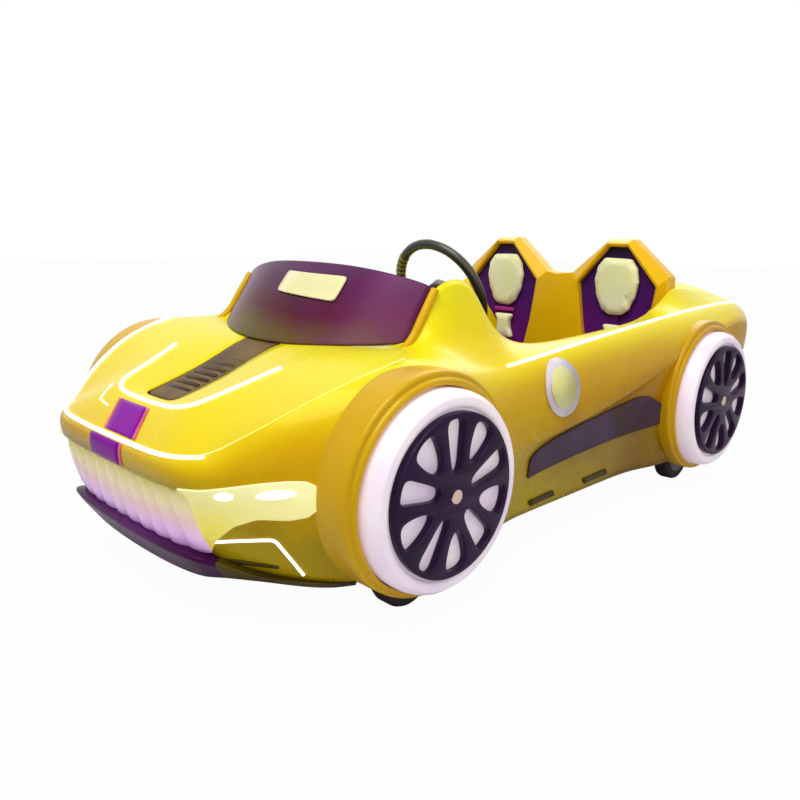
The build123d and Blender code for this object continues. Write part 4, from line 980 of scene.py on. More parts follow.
# Each row of the half body, in millimetres, from the middle of the car outwards and down: core,
# rim, valley, crest, shoulder, belt, lip, crease, flank, sill and the sill's return.
BODY_ROWS = {
    "nose_middle": (
        (0, -850, 389), (0, -875, 386), (0, -925, 354), (0, -957, 331), (0, -965, 320),
        (0, -966, 300), (0, -962, 278), (0, -938, 276), (0, -926, 200), (0, -912, 140),
        (0, -885, 140),
    ),
    "nose_quarter": (
        (35, -850, 389), (100, -874, 388), (117, -921, 357), (130, -956, 332), (132, -964, 321),
        (133, -965, 301), (132, -961, 279), (127, -937, 276), (125, -925, 200), (122, -910, 140),
        (120, -883, 140),
    ),
    "nose_outer": (
        (58, -846, 391), (137, -864, 395), (190, -908, 366), (245, -950, 333), (250, -959, 322),
        (252, -962, 302), (250, -957, 280), (240, -938, 274), (240, -922, 200), (234, -900, 140),
        (220, -875, 140),
    ),
    "nose_corner": (
        (60, -825, 396), (157, -846, 402), (222, -876, 375), (287, -912, 340), (305, -923, 326),
        (312, -927, 302), (310, -921, 279), (302, -912, 262), (294, -902, 200), (272, -880, 130),
        (250, -860, 130),
    ),
    "lamp_front": (
        (60, -790, 406), (165, -825, 410), (243, -842, 388), (320, -873, 366), (343, -877, 344),
        (356, -880, 308), (358, -877, 280), (356, -872, 250), (346, -863, 200), (308, -838, 108),
        (280, -820, 108),
    ),
    "lamp_side": (
        (60, -760, 416), (174, -795, 420), (262, -807, 405), (356, -826, 397), (385, -828, 372),
        (404, -828, 330), (410, -827, 290), (413, -824, 250), (405, -820, 200), (366, -802, 104),
        (330, -780, 104),
    ),
    "lamp_rear": (
        (60, -725, 427), (184, -755, 434), (285, -760, 428), (386, -767, 430), (425, -768, 407),
        (452, -768, 360), (472, -768, 305), (488, -767, 250), (488, -766, 200), (436, -758, 104),
        (390, -740, 104),
    ),
    "arch_front": (
        (60, -680, 446), (207, -690, 459), (315, -690, 460), (421, -690, 466), (462, -690, 450),
        (488, -690, 415), (501, -690, 360), (508, -690, 290), (508, -690, 220), (482, -690, 104),
        (430, -690, 104),
    ),
    "front_wheel": (
        (62, -592, 483), (256, -578, 491), (345, -575, 496), (437, -575, 494), (475, -575, 486),
        (503, -575, 455), (513, -575, 400), (516, -575, 320), (516, -575, 250), (500, -575, 102),
        (450, -575, 102),
    ),
    "cowl_corner": (
        (80, -560, 484), (324, -502, 491), (368, -500, 498), (435, -505, 489), (473, -505, 474),
        (500, -505, 441), (511, -505, 388), (515, -505, 315), (515, -505, 250), (498, -505, 100),
        (450, -505, 100),
    ),
    "cowl_foot": (
        (100, -530, 478), (334, -454, 496), (380, -456, 501), (432, -450, 484), (470, -450, 464),
        (497, -450, 428), (508, -450, 376), (513, -450, 310), (513, -450, 250), (495, -450, 98),
        (450, -450, 98),
    ),
    "cowl_middle": (
        (372, -395, 140), (333, -404, 602), (378, -404, 512), (441, -400, 464), (474, -400, 443),
        (495, -400, 405), (504, -400, 365), (510, -400, 300), (510, -400, 245), (488, -400, 96),
        (440, -400, 96),
    ),
    "cowl_side": (
        (374, -340, 140), (335, -345, 628), (376, -340, 512), (447, -340, 450), (475, -340, 430),
        (492, -340, 392), (500, -340, 350), (506, -340, 288), (500, -340, 240), (474, -340, 94),
        (430, -340, 94),
    ),
    "cowl_rear": (
        (378, -285, 140), (336, -262, 624), (378, -262, 512), (449, -280, 445), (474, -280, 426),
        (489, -280, 388), (496, -280, 340), (502, -280, 280), (484, -280, 242), (458, -280, 92),
        (420, -280, 92),
    ),
    "cockpit_front": (
        (383, -225, 140), (381, -232, 472), (408, -225, 466), (450, -225, 449), (474, -225, 430),
        (488, -225, 388), (496, -225, 335), (501, -225, 278), (474, -225, 245), (452, -225, 92),
        (420, -225, 92),
    ),
    "door_front": (
        (383, -20, 140), (385, -20, 466), (405, -20, 470), (450, -20, 467), (476, -20, 445),
        (490, -20, 398), (498, -20, 352), (503, -20, 300), (472, -20, 266), (452, -20, 90),
        (420, -20, 90),
    ),
    "door_middle": (
        (383, 180, 140), (385, 180, 474), (405, 180, 480), (450, 180, 482), (478, 180, 462),
        (494, 180, 420), (501, 180, 380), (506, 180, 336), (474, 180, 300), (452, 180, 90),
        (420, 180, 90),
    ),
    "door_back": (
        (383, 290, 140), (385, 290, 478), (405, 290, 486), (450, 290, 490), (480, 290, 470),
        (497, 290, 432), (504, 290, 400), (509, 290, 366), (482, 290, 330), (458, 290, 90),
        (420, 290, 90),
    ),
    "door_rear": (
        (383, 370, 140), (385, 370, 484), (405, 370, 491), (450, 370, 495), (480, 370, 476),
        (500, 370, 441), (507, 370, 416), (512, 370, 392), (503, 370, 345), (486, 370, 90),
        (440, 370, 90),
    ),
    "quarter": (
        (383, 500, 140), (385, 470, 506), (408, 470, 506), (451, 470, 502), (482, 470, 486),
        (505, 470, 456), (512, 470, 437), (516, 470, 418), (512, 470, 360), (496, 470, 94),
        (450, 470, 94),
    ),
    "seat_wall": (
        (383, 562, 140), (385, 555, 552), (412, 555, 532), (452, 555, 507), (484, 555, 492),
        (508, 555, 466), (516, 555, 450), (520, 555, 434), (518, 555, 360), (505, 555, 96),
        (450, 555, 96),
    ),
    "deck_front": (
        (0, 605, 588), (385, 600, 568), (414, 600, 540), (453, 600, 509), (485, 600, 494),
        (510, 600, 470), (518, 600, 457), (521, 600, 442), (519, 600, 360), (506, 600, 97),
        (450, 600, 97),
    ),
    "deck_middle": (
        (0, 700, 590), (385, 700, 556), (415, 700, 535), (454, 700, 513), (486, 700, 497),
        (509, 700, 474), (518, 700, 466), (520, 700, 456), (517, 700, 360), (503, 700, 100),
        (450, 700, 100),
    ),
    "rear_fender": (
        (0, 780, 588), (385, 790, 545), (416, 790, 530), (455, 790, 516), (485, 790, 503),
        (506, 790, 486), (513, 790, 478), (515, 790, 466), (512, 790, 360), (492, 790, 115),
        (440, 790, 115),
    ),
    "tail_side": (
        (0, 830, 584), (383, 870, 535), (415, 870, 524), (453, 870, 513), (480, 870, 498),
        (499, 870, 476), (506, 870, 450), (507, 870, 410), (500, 870, 330), (465, 870, 160),
        (420, 860, 160),
    ),
    "tail_corner": (
        (0, 860, 581), (350, 915, 536), (395, 925, 519), (434, 934, 505), (460, 940, 488),
        (474, 942, 462), (480, 943, 430), (480, 943, 390), (470, 938, 310), (430, 925, 212),
        (380, 900, 212),
    ),
    "tail_outer": (
        (0, 875, 580), (290, 922, 553), (325, 938, 530), (350, 951, 510), (365, 957, 490),
        (372, 958, 455), (374, 955.5, 425), (374, 955, 385), (366, 953, 310), (350, 945, 212),
        (320, 920, 212),
    ),
    "tail_quarter": (
        (0, 890, 579), (170, 928, 569), (180, 945, 548), (190, 957, 525), (190, 962, 500),
        (190, 960, 460), (190, 954.5, 425), (190, 953.5, 385), (190, 954, 310), (190, 950, 212),
        (180, 925, 212),
    ),
    "tail_middle": (
        (0, 900, 578), (0, 930, 575), (0, 947, 553), (0, 959, 530), (0, 963, 505), (0, 961, 460),
        (0, 954.5, 425), (0, 953.5, 385), (0, 955, 310), (0, 952, 212), (0, 926, 212),
    ),
}


@dataclass
class BodyShell(Assembly):
    """The lit gold body: nose, hood, fenders, doors, cockpit walls, rear deck and tail."""

    rows: dict[str, list[Point]] = field(
        default_factory=lambda: {name: metres(row) for name, row in BODY_ROWS.items()}
    )
    creases: tuple[tuple[int, str, str], ...] = (
        (0, "nose_middle", "front_wheel"),
        (0, "cowl_middle", "seat_wall"),
        (1, "nose_middle", "tail_middle"),
        (3, "nose_middle", "tail_middle"),
        (6, "nose_middle", "lamp_front"),
        (7, "nose_middle", "nose_corner"),
        (7, "cowl_rear", "rear_fender"),
        (9, "nose_middle", "tail_middle"),
    )
    wall: float = 0.004

    def line(self, loop: int, first: str, last: str) -> list[Point]:
        """The control points of one line along the body.

        Args:
            loop: the line's place in each row.
            first: the name of the first row.
            last: the name of the last row.

        Returns:
            The points.
        """
        names = list(self.rows)
        span = names[names.index(first) : names.index(last) + 1]
        return [self.rows[name][loop] for name in span]

    def build(self) -> bpy.types.Object:
        """Draws the half body, mirrors it and gives it its wall.

        Returns:
            The body.
        """
        mesh, lines = draw_surface(list(self.rows.values()))
        sharp = mesh.edges.layers.float.new("crease_edge")
        names = list(self.rows)
        for loop, first, last in self.creases:
            span = lines[names.index(first) : names.index(last) + 1]
            for here, there in zip(span, span[1:]):
                mesh.edges.get((here[loop], there[loop]))[sharp] = 1.0
        mirrored(mesh)
        face_out(mesh)
        roof = max(mesh.faces, key=lambda face: face.calc_center_median().z)
        if roof.normal.z < 0:
            bmesh.ops.reverse_faces(mesh, faces=mesh.faces[:])
        mesh.normal_update()
        # how far each point faces up, which the gold paint uses for painted light on upward faces
        painted_top_light = mesh.verts.layers.float.new("facing_up_for_painted_light")
        for vert in mesh.verts:
            vert[painted_top_light] = vert.normal.z
        return self.builder.stand(
            "body_shell",
            mesh,
            GOLD_PAINT_AND_SHADE,
            ("front_shell", "side_shell_left", "side_shell_right", "rear_shell", "cowl"),
            levels=3,
            wall=self.wall,
            inward=-1.0,
            smooth_to=180.0,
            outward=False,
        )


@dataclass
class Skin:
    """Finds places on the finished body so that trim follows it."""

    body: bpy.types.Object
    reach: float = 0.15
    tree: BVHTree = field(init=False)

    def __post_init__(self) -> None:
        """Reads the body as it is shown."""
        self.tree = BVHTree.FromObject(self.body, bpy.context.evaluated_depsgraph_get())

    def on(self, point: Point, lift: float) -> Point:
        """The place on the body nearest to a point, lifted off it."""
        place, normal, _, _ = self.tree.find_nearest(Vector(point))
        return tuple(place + normal * lift)

    def met(self, point: Point, facing: Point, lift: float) -> Point:
        """The place on the body met through a point from one side.

        Args:
            point: the wanted place.
            facing: the direction that the side faces.
            lift: how far off the surface the result lies.

        Returns:
            The place.
        """
        out = Vector(facing).normalized()
        place, normal, _, _ = self.tree.ray_cast(Vector(point) + out * self.reach, -out)
        if place is None:
            return self.on(point, lift)
        return tuple(place + (normal if normal.dot(out) > 0 else -normal) * lift)

    def patch(
        self, corners: Sequence[Sequence[Point]], lift: float, facing: Point, finer: int = 3
    ) -> Mesh:
        """Lays a patch on the body.

        Args:
            corners: rows of points, from edge to edge.
            lift: how far off the surface it lies.
            facing: the direction that it faces.
            finer: cuts in each edge before it is laid.

        Returns:
            The mesh.
        """
        mesh, _ = draw_surface(corners)
        bmesh.ops.subdivide_edges(mesh, edges=mesh.edges[:], cuts=finer, use_grid_fill=True)
        for vert in mesh.verts:
            vert.co = self.met(vert.co, facing, lift)
        return mesh


@dataclass
class LightLines(Assembly):
    """The white light lines along the nose, hood and shoulders, and a thin glowing lime line
    that paints the highlight on the near fender's crest.
    """

    body: BodyShell
    radius: float = 0.0045
    shoulder_share: float = 0.9
    highlight_share: float = 0.45

    def build(self) -> None:
        """Lays each line in its crease of the body."""
        tube, line = self.builder.tube, self.body.line
        crest = line(3, "nose_middle", "front_wheel")
        round_nose = self.across(crest)
        lit = len(crest) + 3
        tube("nose_light_line", round_nose[:lit], self.radius, WHITE_LINE, ("nose_light_strip",))
        # Past the near nose corner the crest has no lamp: a thinner lime line paints its
        # highlight.
        ridge = round_nose[lit - 3 :]
        tube("nose_ridge_highlight", ridge, self.radius * self.highlight_share, RIDGE_HIGHLIGHT_LIME)
        rim = self.across(line(1, "nose_middle", "arch_front"))
        tube("hood_light_line", rim, self.radius, WHITE_LINE, ("hood_light_strip",))
        tube(
            "shoulder_light_lines",
            line(3, "cowl_rear", "tail_corner"),
            self.radius * self.shoulder_share,
            WHITE_LINE,
            ("shoulder_light_strips",),
            mirror=True,
        )

    @staticmethod
    def across(half: list[Point]) -> list[Point]:
        """Joins a line that starts in the middle to its mirror, from far side to near side."""
        return [(-x, y, z) for x, y, z in reversed(half[1:])] + half


@dataclass
class NoseFront(Assembly):
    """The front end: pleated lit grille, splitter, headlights, stripe and accent lines."""

    skin: Skin
    pleats: int = 10
    steps_in_pleat: int = 6
    pleat_depth: float = 0.014
    pleat_end_share: float = 0.35
    spread: float = 1.08
    grille_half: float = 0.249
    grille_top: float = 0.2757
    grille_bottom: float = 0.1500
    grille_sink: float = 0.010
    bend_half: float = 0.268
    front_y: float = -0.953
    corner_sweep: float = 0.008
    rake: float = 0.020
    corner_rake: float = 0.022
    splitter_foot: float = 0.0885
    first_blade: int = 4
    facing: Point = (0.62, -0.78, 0.05)
    bulb_size: Point = (0.010, 0.008, 0.0095)

    def build(self) -> None:
        """Builds every piece of the front end."""
        self.grille()
        self.splitter()
        self.lenses()
        self.bulbs()
        self.lower_lines()
        self.slots()
        self.stripe()

    def front_at(self, x: float, share: float) -> float:
        """The grille's place along the car.

        Args:
            x: distance from the middle.
            share: how much of the fall from top to bottom lies above.

        Returns:
            The place.
        """
        bend = (min(abs(x), self.bend_half) / self.bend_half) ** 4
        top = self.front_y + self.corner_sweep * bend
        return top + share * (self.rake + self.corner_rake * bend)

    def grille(self) -> None:
        """Draws the pleats from the lip down to the splitter, fanned out."""
        steps = self.pleats * self.steps_in_pleat
        rows = []
        for share in (0.0, 0.12, 0.5, 0.88, 1.0):
            z = self.grille_top + share * (self.grille_bottom - self.grille_top)
            depth = self.pleat_depth * (self.pleat_end_share if share in (0.0, 1.0) else 1.0)
            row = []
            for step in range(steps + 1):
                across = step / steps * 2 - 1
                x = across * self.grille_half * (1 + (self.spread - 1) * share)
                wave = abs(math.sin(step / steps * math.pi * self.pleats)) ** 0.7
                row.append((x, self.front_at(x, share) + self.grille_sink - depth * wave, z))
            rows.append(row)
        self.builder.sheet("grille_pleats", rows, GRILLE_MILK, ("grille",), wall=0.003)

    def splitter(self) -> None:
        """Draws the glossy splitter: a chin under the grille and a blade round the corners."""
        stations = metres(
            (
                # top edge x, y; foot x, y; back x, y; top z
                (0, -957, 0, -919, 0, -870, 153),
                (150, -954, 142, -914, 130, -866, 153),
                (245, -944, 222, -900, 190, -856, 152.5),
                (270, -930, 245, -888, 205, -845, 150),
                (288, -908, 266, -869, 225, -830, 140),
                (312, -874, 300, -845, 265, -805, 121),
                (352, -838, 340, -818, 305, -785, 107),
                (400, -798, 392, -787, 360, -760, 105),
                (444, -757, 436, -750, 405, -730, 105),
                (460, -715, 454, -710, 420, -700, 104),
            )
        )
        foot = self.splitter_foot
        rows = [
            [
                (back_x, back_y, high - 0.001),
                (top_x, top_y + 0.010, high),
                (top_x, top_y, high - 0.003),
                (foot_x, foot_y - 0.003, foot + 0.0045),
                (foot_x, foot_y, foot),
                (back_x, back_y, foot),
            ]
            for top_x, top_y, foot_x, foot_y, back_x, back_y, high in stations
        ]
        chin = self.closed_run(rows[: self.first_blade + 1])
        self.builder.stand(
            "front_splitter", mirrored(chin), PURPLE_GLOSS, ("splitter",), levels=2, smooth_to=60.0
        )
        blades = both_sides(self.closed_run(rows[self.first_blade :]))
        self.builder.stand(
            "splitter_blades", blades, OLIVE_TRIM, levels=2, smooth_to=60.0, outward=False
        )

    @staticmethod
    def closed_run(rows: Sequence[Sequence[Point]]) -> Mesh:
        """Draws one run of the splitter and fills its ends that lie away from the middle.

        Args:
            rows: the run's sections.

        Returns:
            The mesh.
        """
        mesh, _ = draw_surface(rows, closed=True)
        sharp = mesh.edges.layers.float.new("crease_edge")
        ends = [edge for edge in open_edges(mesh) if edge.verts[0].co.x > 0.01]
        for edge in ends:
            edge[sharp] = 1.0
        bmesh.ops.holes_fill(mesh, edges=ends)
        face_out(mesh)
        return mesh

    def lenses(self) -> None:
        """Lays the corner lenses on the body."""
        lens = (
            ((249, -953, 283), (253, -935, 239), (262, -918, 190), (264, -898, 148)),
            ((295, -933, 287), (287, -918, 258), (288, -909, 223), (283, -896, 179)),
            ((333, -901, 294), (335, -898, 272), (329, -890, 245), (324, -883, 216)),
            ((372, -862, 302), (373, -862, 283), (370, -861, 260), (364, -860, 235)),
            ((408, -826, 307), (412, -825, 289), (413, -824, 265), (409, -824, 236)),
            ((432, -803, 307), (440, -798, 290), (445, -797, 269), (436, -804, 244)),
            ((443, -793, 300), (450, -788, 288), (453, -788, 271), (448, -794, 257)),
        )
        mesh = self.skin.patch([metres(row) for row in lens], 0.0025, self.facing)
        face_out(mesh)
        self.builder.stand(
            "headlight_lenses",
            both_sides(mesh),
            HEADLIGHT_LENS,
            ("headlight_left", "headlight_right"),
            levels=1,
            wall=0.004,
        )

    def bulbs(self) -> None:
        """Sets the two bright bulbs of each lens as flattened balls."""
        mesh = bmesh.new()
        for spot in (
            ((322, -912, 278), (336, -898, 279)),
            ((372, -862, 280), (418, -820, 286)),
        ):
            inner, outer = (
                Vector(self.skin.met(point, self.facing, 0.0005)) for point in metres(spot)
            )
            along = outer - inner
            ball = bmesh.ops.create_uvsphere(mesh, u_segments=24, v_segments=12, radius=1.0)
            more, wide, high = self.bulb_size
            size = (along.length / 2 + more, wide, high)
            bmesh.ops.scale(mesh, vec=size, verts=ball["verts"])
            turn = along.to_track_quat("X", "Z").to_matrix()
            set_down(mesh, (inner + outer) / 2, turn, ball["verts"])
        self.builder.stand(
            "headlight_bulbs", both_sides(mesh), WHITE_LINE, smooth_to=180.0, outward=False
        )

    def lower_lines(self) -> None:
        """Lays the angled light line under each lens."""
        places = metres(
            (
                (276, -899, 174), (303, -883, 181), (341, -858, 187), (366, -841, 191),
                (376, -832, 191), (381, -824, 176), (389, -807, 149), (397, -787, 117),
            )
        )
        line = [self.skin.met(point, self.facing, 0.001) for point in places]
        self.builder.tube("headlight_lower_lines", line, 0.0032, WHITE_LINE, order=3, mirror=True)

    def slots(self) -> None:
        """Lays the thin dark slot under each lower line."""
        slot = (
            ((275, -890, 139), (276, -890, 132)),
            ((301, -868, 138), (300, -866, 128)),
            ((338, -840, 134), (336, -838, 126)),
            ((364, -820, 131), (363, -819, 126)),
        )
        mesh = self.skin.patch([metres(row) for row in slot], 0.0015, self.facing, finer=2)
        self.builder.stand("headlight_slots", both_sides(mesh), OLIVE_TRIM, wall=0.002)

    def stripe(self) -> None:
        """Lays the purple stripe with its red edges over the hood's front and the nose lip."""
        # y, z and slant of each row, in millimetres
        run = metres(((-888, 379, 0), (-910, 364, 21), (-929, 350, 38), (-949, 337, 56)))
        lip = metres(((-962, 326, 56), (-966, 315, 56), (-966, 300, 56), (-965, 284, 56)))
        for name, places, low, high, facing, finish in (
            ("hood_stripe", run, -0.077, 0.030, (0.0, -0.4, 0.9), STRIPE_PURPLE),
            ("hood_stripe_edge_left", run, 0.032, 0.043, (0.0, -0.4, 0.9), STRIPE_RED),
            ("hood_stripe_edge_right", run, -0.088, -0.079, (0.0, -0.4, 0.9), STRIPE_RED),
            ("lip_stripe", lip, -0.122, 0.002, (0.0, -1.0, 0.1), STRIPE_PURPLE),
            ("lip_stripe_edge_left", lip, 0.004, 0.014, (0.0, -1.0, 0.1), STRIPE_RED),
        ):
            third = (high - low) / 3
            rows = [
                [(low + slant + third * part, y, z) for part in range(4)]
                for y, z, slant in places
            ]
            mesh = self.skin.patch(rows, 0.0012, facing, finer=2)
            self.builder.stand(name, mesh, finish, wall=0.001)
        marks = (
            ((-150, -905, 372), (-165, -885, 382), (-182, -860, 392)),
            ((-150, -905, 372), (-120, -910, 370), (-98, -912, 368)),
        )
        for index, mark in enumerate(marks, start=1):
            line = [self.skin.on(point, 0.0005) for point in metres(mark)]
            self.builder.tube(f"hood_accent_{index}", line, 0.0018, WHITE_LINE, order=3)


@dataclass
class HoodVent(Assembly):
    """The dark band in the hood's valley, with its rows of small slots."""

    half_width: float = 0.061
    front_share: float = 0.75
    sink: float = 0.003
    stations: tuple[Flat, ...] = (
        (-0.846, 0.3895), (-0.825, 0.3955), (-0.790, 0.4055), (-0.760, 0.4155),
        (-0.725, 0.4280), (-0.680, 0.4455), (-0.620, 0.4740), (-0.575, 0.4860),
    )
    louvres: int = 9
    louvre_size: Point = (0.086, 0.009, 0.003)
    louvre_tilt: float = 35.0
    first_louvre: Flat = (-0.800, 0.4020)
    louvre_run: Flat = (0.170, 0.0600)

    def build(self) -> None:
        """Draws the band and the louvres across it."""
        rows = []
        for index, (y, z) in enumerate(self.stations):
            half = self.half_width * (self.front_share if index == 0 else 1.0)
            rows.append([(half * side, y, z - self.sink) for side in SPREAD_OF_FIVE])
        self.builder.sheet("hood_vent_band", rows, VENT_OLIVE)
        mesh = bmesh.new()
        for index in range(self.louvres):
            share = index / (self.louvres - 1)
            place = (
                0.0,
                self.first_louvre[0] + self.louvre_run[0] * share,
                self.first_louvre[1] + self.louvre_run[1] * share,
            )
            made = bmesh.ops.create_cube(mesh, size=1.0)["verts"]
            bmesh.ops.scale(mesh, vec=self.louvre_size, verts=made)
            set_down(mesh, place, turn_by(self.louvre_tilt, "X"), made)
        soften(mesh, 0.001)
        self.builder.stand("hood_vent_louvres", mesh, OLIVE_TRIM)


@dataclass
class Windscreen(Assembly):
    """The wrapped tinted screen with its side pillars and blank plate."""

    half_width: float = 0.329
    base: Flat = (0.499, 0.482)
    top: Flat = (0.612, 0.651)
    side_y: Flat = (-0.462, -0.387)
    middle_y: Flat = (-0.580, -0.460)
    foot_z: float = 0.5
    thickness: float = 0.005
    pillar_radius: float = 0.0095
    plate_left: float = -0.046
    plate_width: float = 0.196
    plate_low: float = 0.584
    plate_drop: float = 0.012
    plate_height: float = 0.044
    plate_growth: float = 0.007
    plate_tuck: float = 0.006

    def y_at(self, x: float, z: float) -> float:
        """The screen's place along the car at a width and a height.

        Args:
            x: distance from the middle.
            z: height.

        Returns:
            The place along the car.
        """
        rise = z - self.foot_z
        side = self.side_y[0] + rise / 0.112 * (self.side_y[1] - self.side_y[0])
        middle = self.middle_y[0] + rise / 0.145 * (self.middle_y[1] - self.middle_y[0])
        sag = side - middle
        radius = (self.half_width**2 + sag**2) / (2 * sag)
        return middle + radius - math.sqrt(max(radius**2 - x * x, 0.0))

    def build(self) -> None:
        """Draws the screen, its pillars and the plate that lies on it."""
        self.screen()
        pillar = [
            (0.345, -0.496, 0.484), (0.341, -0.460, 0.502),
            (0.340, -0.425, 0.556), (0.338, -0.389, 0.605),
        ]
        self.builder.tube(
            "screen_pillars", pillar, self.pillar_radius, GOLD_PAINT_AND_SHADE, order=3, mirror=True
        )
        self.plate()

    def screen(self) -> None:
        """Draws the bowed sheet."""
        rows = []
        for rise in (0.0, 0.08, 0.35, 0.65, 0.92, 1.0):
            row = []
            for step in range(13):
                across = step / 12 * 2 - 1
                bow = 1 - across**2
                low = self.base[0] + (self.base[1] - self.base[0]) * bow
                high = self.top[0] + (self.top[1] - self.top[0]) * (1 - abs(across) ** 2.6)
                z = low + (high - low) * rise
                x = across * self.half_width
                row.append((x, self.y_at(x, z), z))
            rows.append(row)
        self.builder.sheet(
            "tinted_screen",
            rows,
            TINTED_SCREEN,
            ("windscreen",),
            levels=2,
            wall=self.thickness,
            smooth_to=180.0,
        )

    def plate(self) -> None:
        """Draws the blank plate with its tucked corners."""
        rows = []
        for rise in (0.0, 0.06, 0.5, 0.94, 1.0):
            row = []
            for step in range(9):
                across = step / 8
                tuck = self.plate_tuck if rise in (0.0, 1.0) and step in (0, 8) else 0.0
                x = self.plate_left + self.plate_width * across + (tuck if step == 0 else -tuck)
                height = self.plate_height + self.plate_growth * across
                z = self.plate_low - self.plate_drop * across + height * rise
                row.append((x, self.y_at(x, z) - 0.0052, z + 0.002))
            rows.append(row)
        self.builder.sheet("screen_plate", rows, PLATE_YELLOW, wall=0.003, smooth_to=60.0)


@dataclass
class Scuttle(Assembly):
    """The panel under the screen and the dash behind it."""

    def build(self) -> None:
        """Draws the panel from the hood's rear edge to the dash, and the dash's two pads."""
        stations = (
            (-0.610, 0.120, 0.4640), (-0.570, 0.220, 0.4720), (-0.510, 0.300, 0.4820),
            (-0.450, 0.326, 0.4920), (-0.396, 0.330, 0.4900), (-0.393, 0.330, 0.4600),
        )
        rows = [
            [(half * side, y, z + 0.002 * (1 - abs(side))) for side in SPREAD_OF_FIVE]
            for y, half, z in stations
        ]
        self.builder.sheet("scuttle_panel", rows, GOLD_PAINT_AND_SHADE)
        stations = (
            (-0.382, 0.592), (-0.374, 0.599), (-0.345, 0.601),
            (-0.315, 0.598), (-0.303, 0.590), (-0.300, 0.572),
        )
        across = (-0.312, -0.300, -0.180, 0.0, 0.180, 0.300, 0.312)
        rows = [[(x, y, z - 0.003 * (abs(x) / 0.312) ** 4) for x in across] for y, z in stations]
        self.builder.sheet("dash_pad", rows, DASH_BLACK, ("dash_top",), wall=0.006, levels=2)
        stations = (
            (-0.250, 0.402), (-0.257, 0.412), (-0.259, 0.445), (-0.257, 0.478), (-0.250, 0.488),
        )
        across = (-0.368, -0.350, -0.120, 0.0, 0.120, 0.350, 0.368)
        rows = [[(x, y, z) for x in across] for y, z in stations]
        self.builder.sheet("dash_fascia", rows, DASH_BLACK, ("dash_panel",), wall=0.005, levels=2)


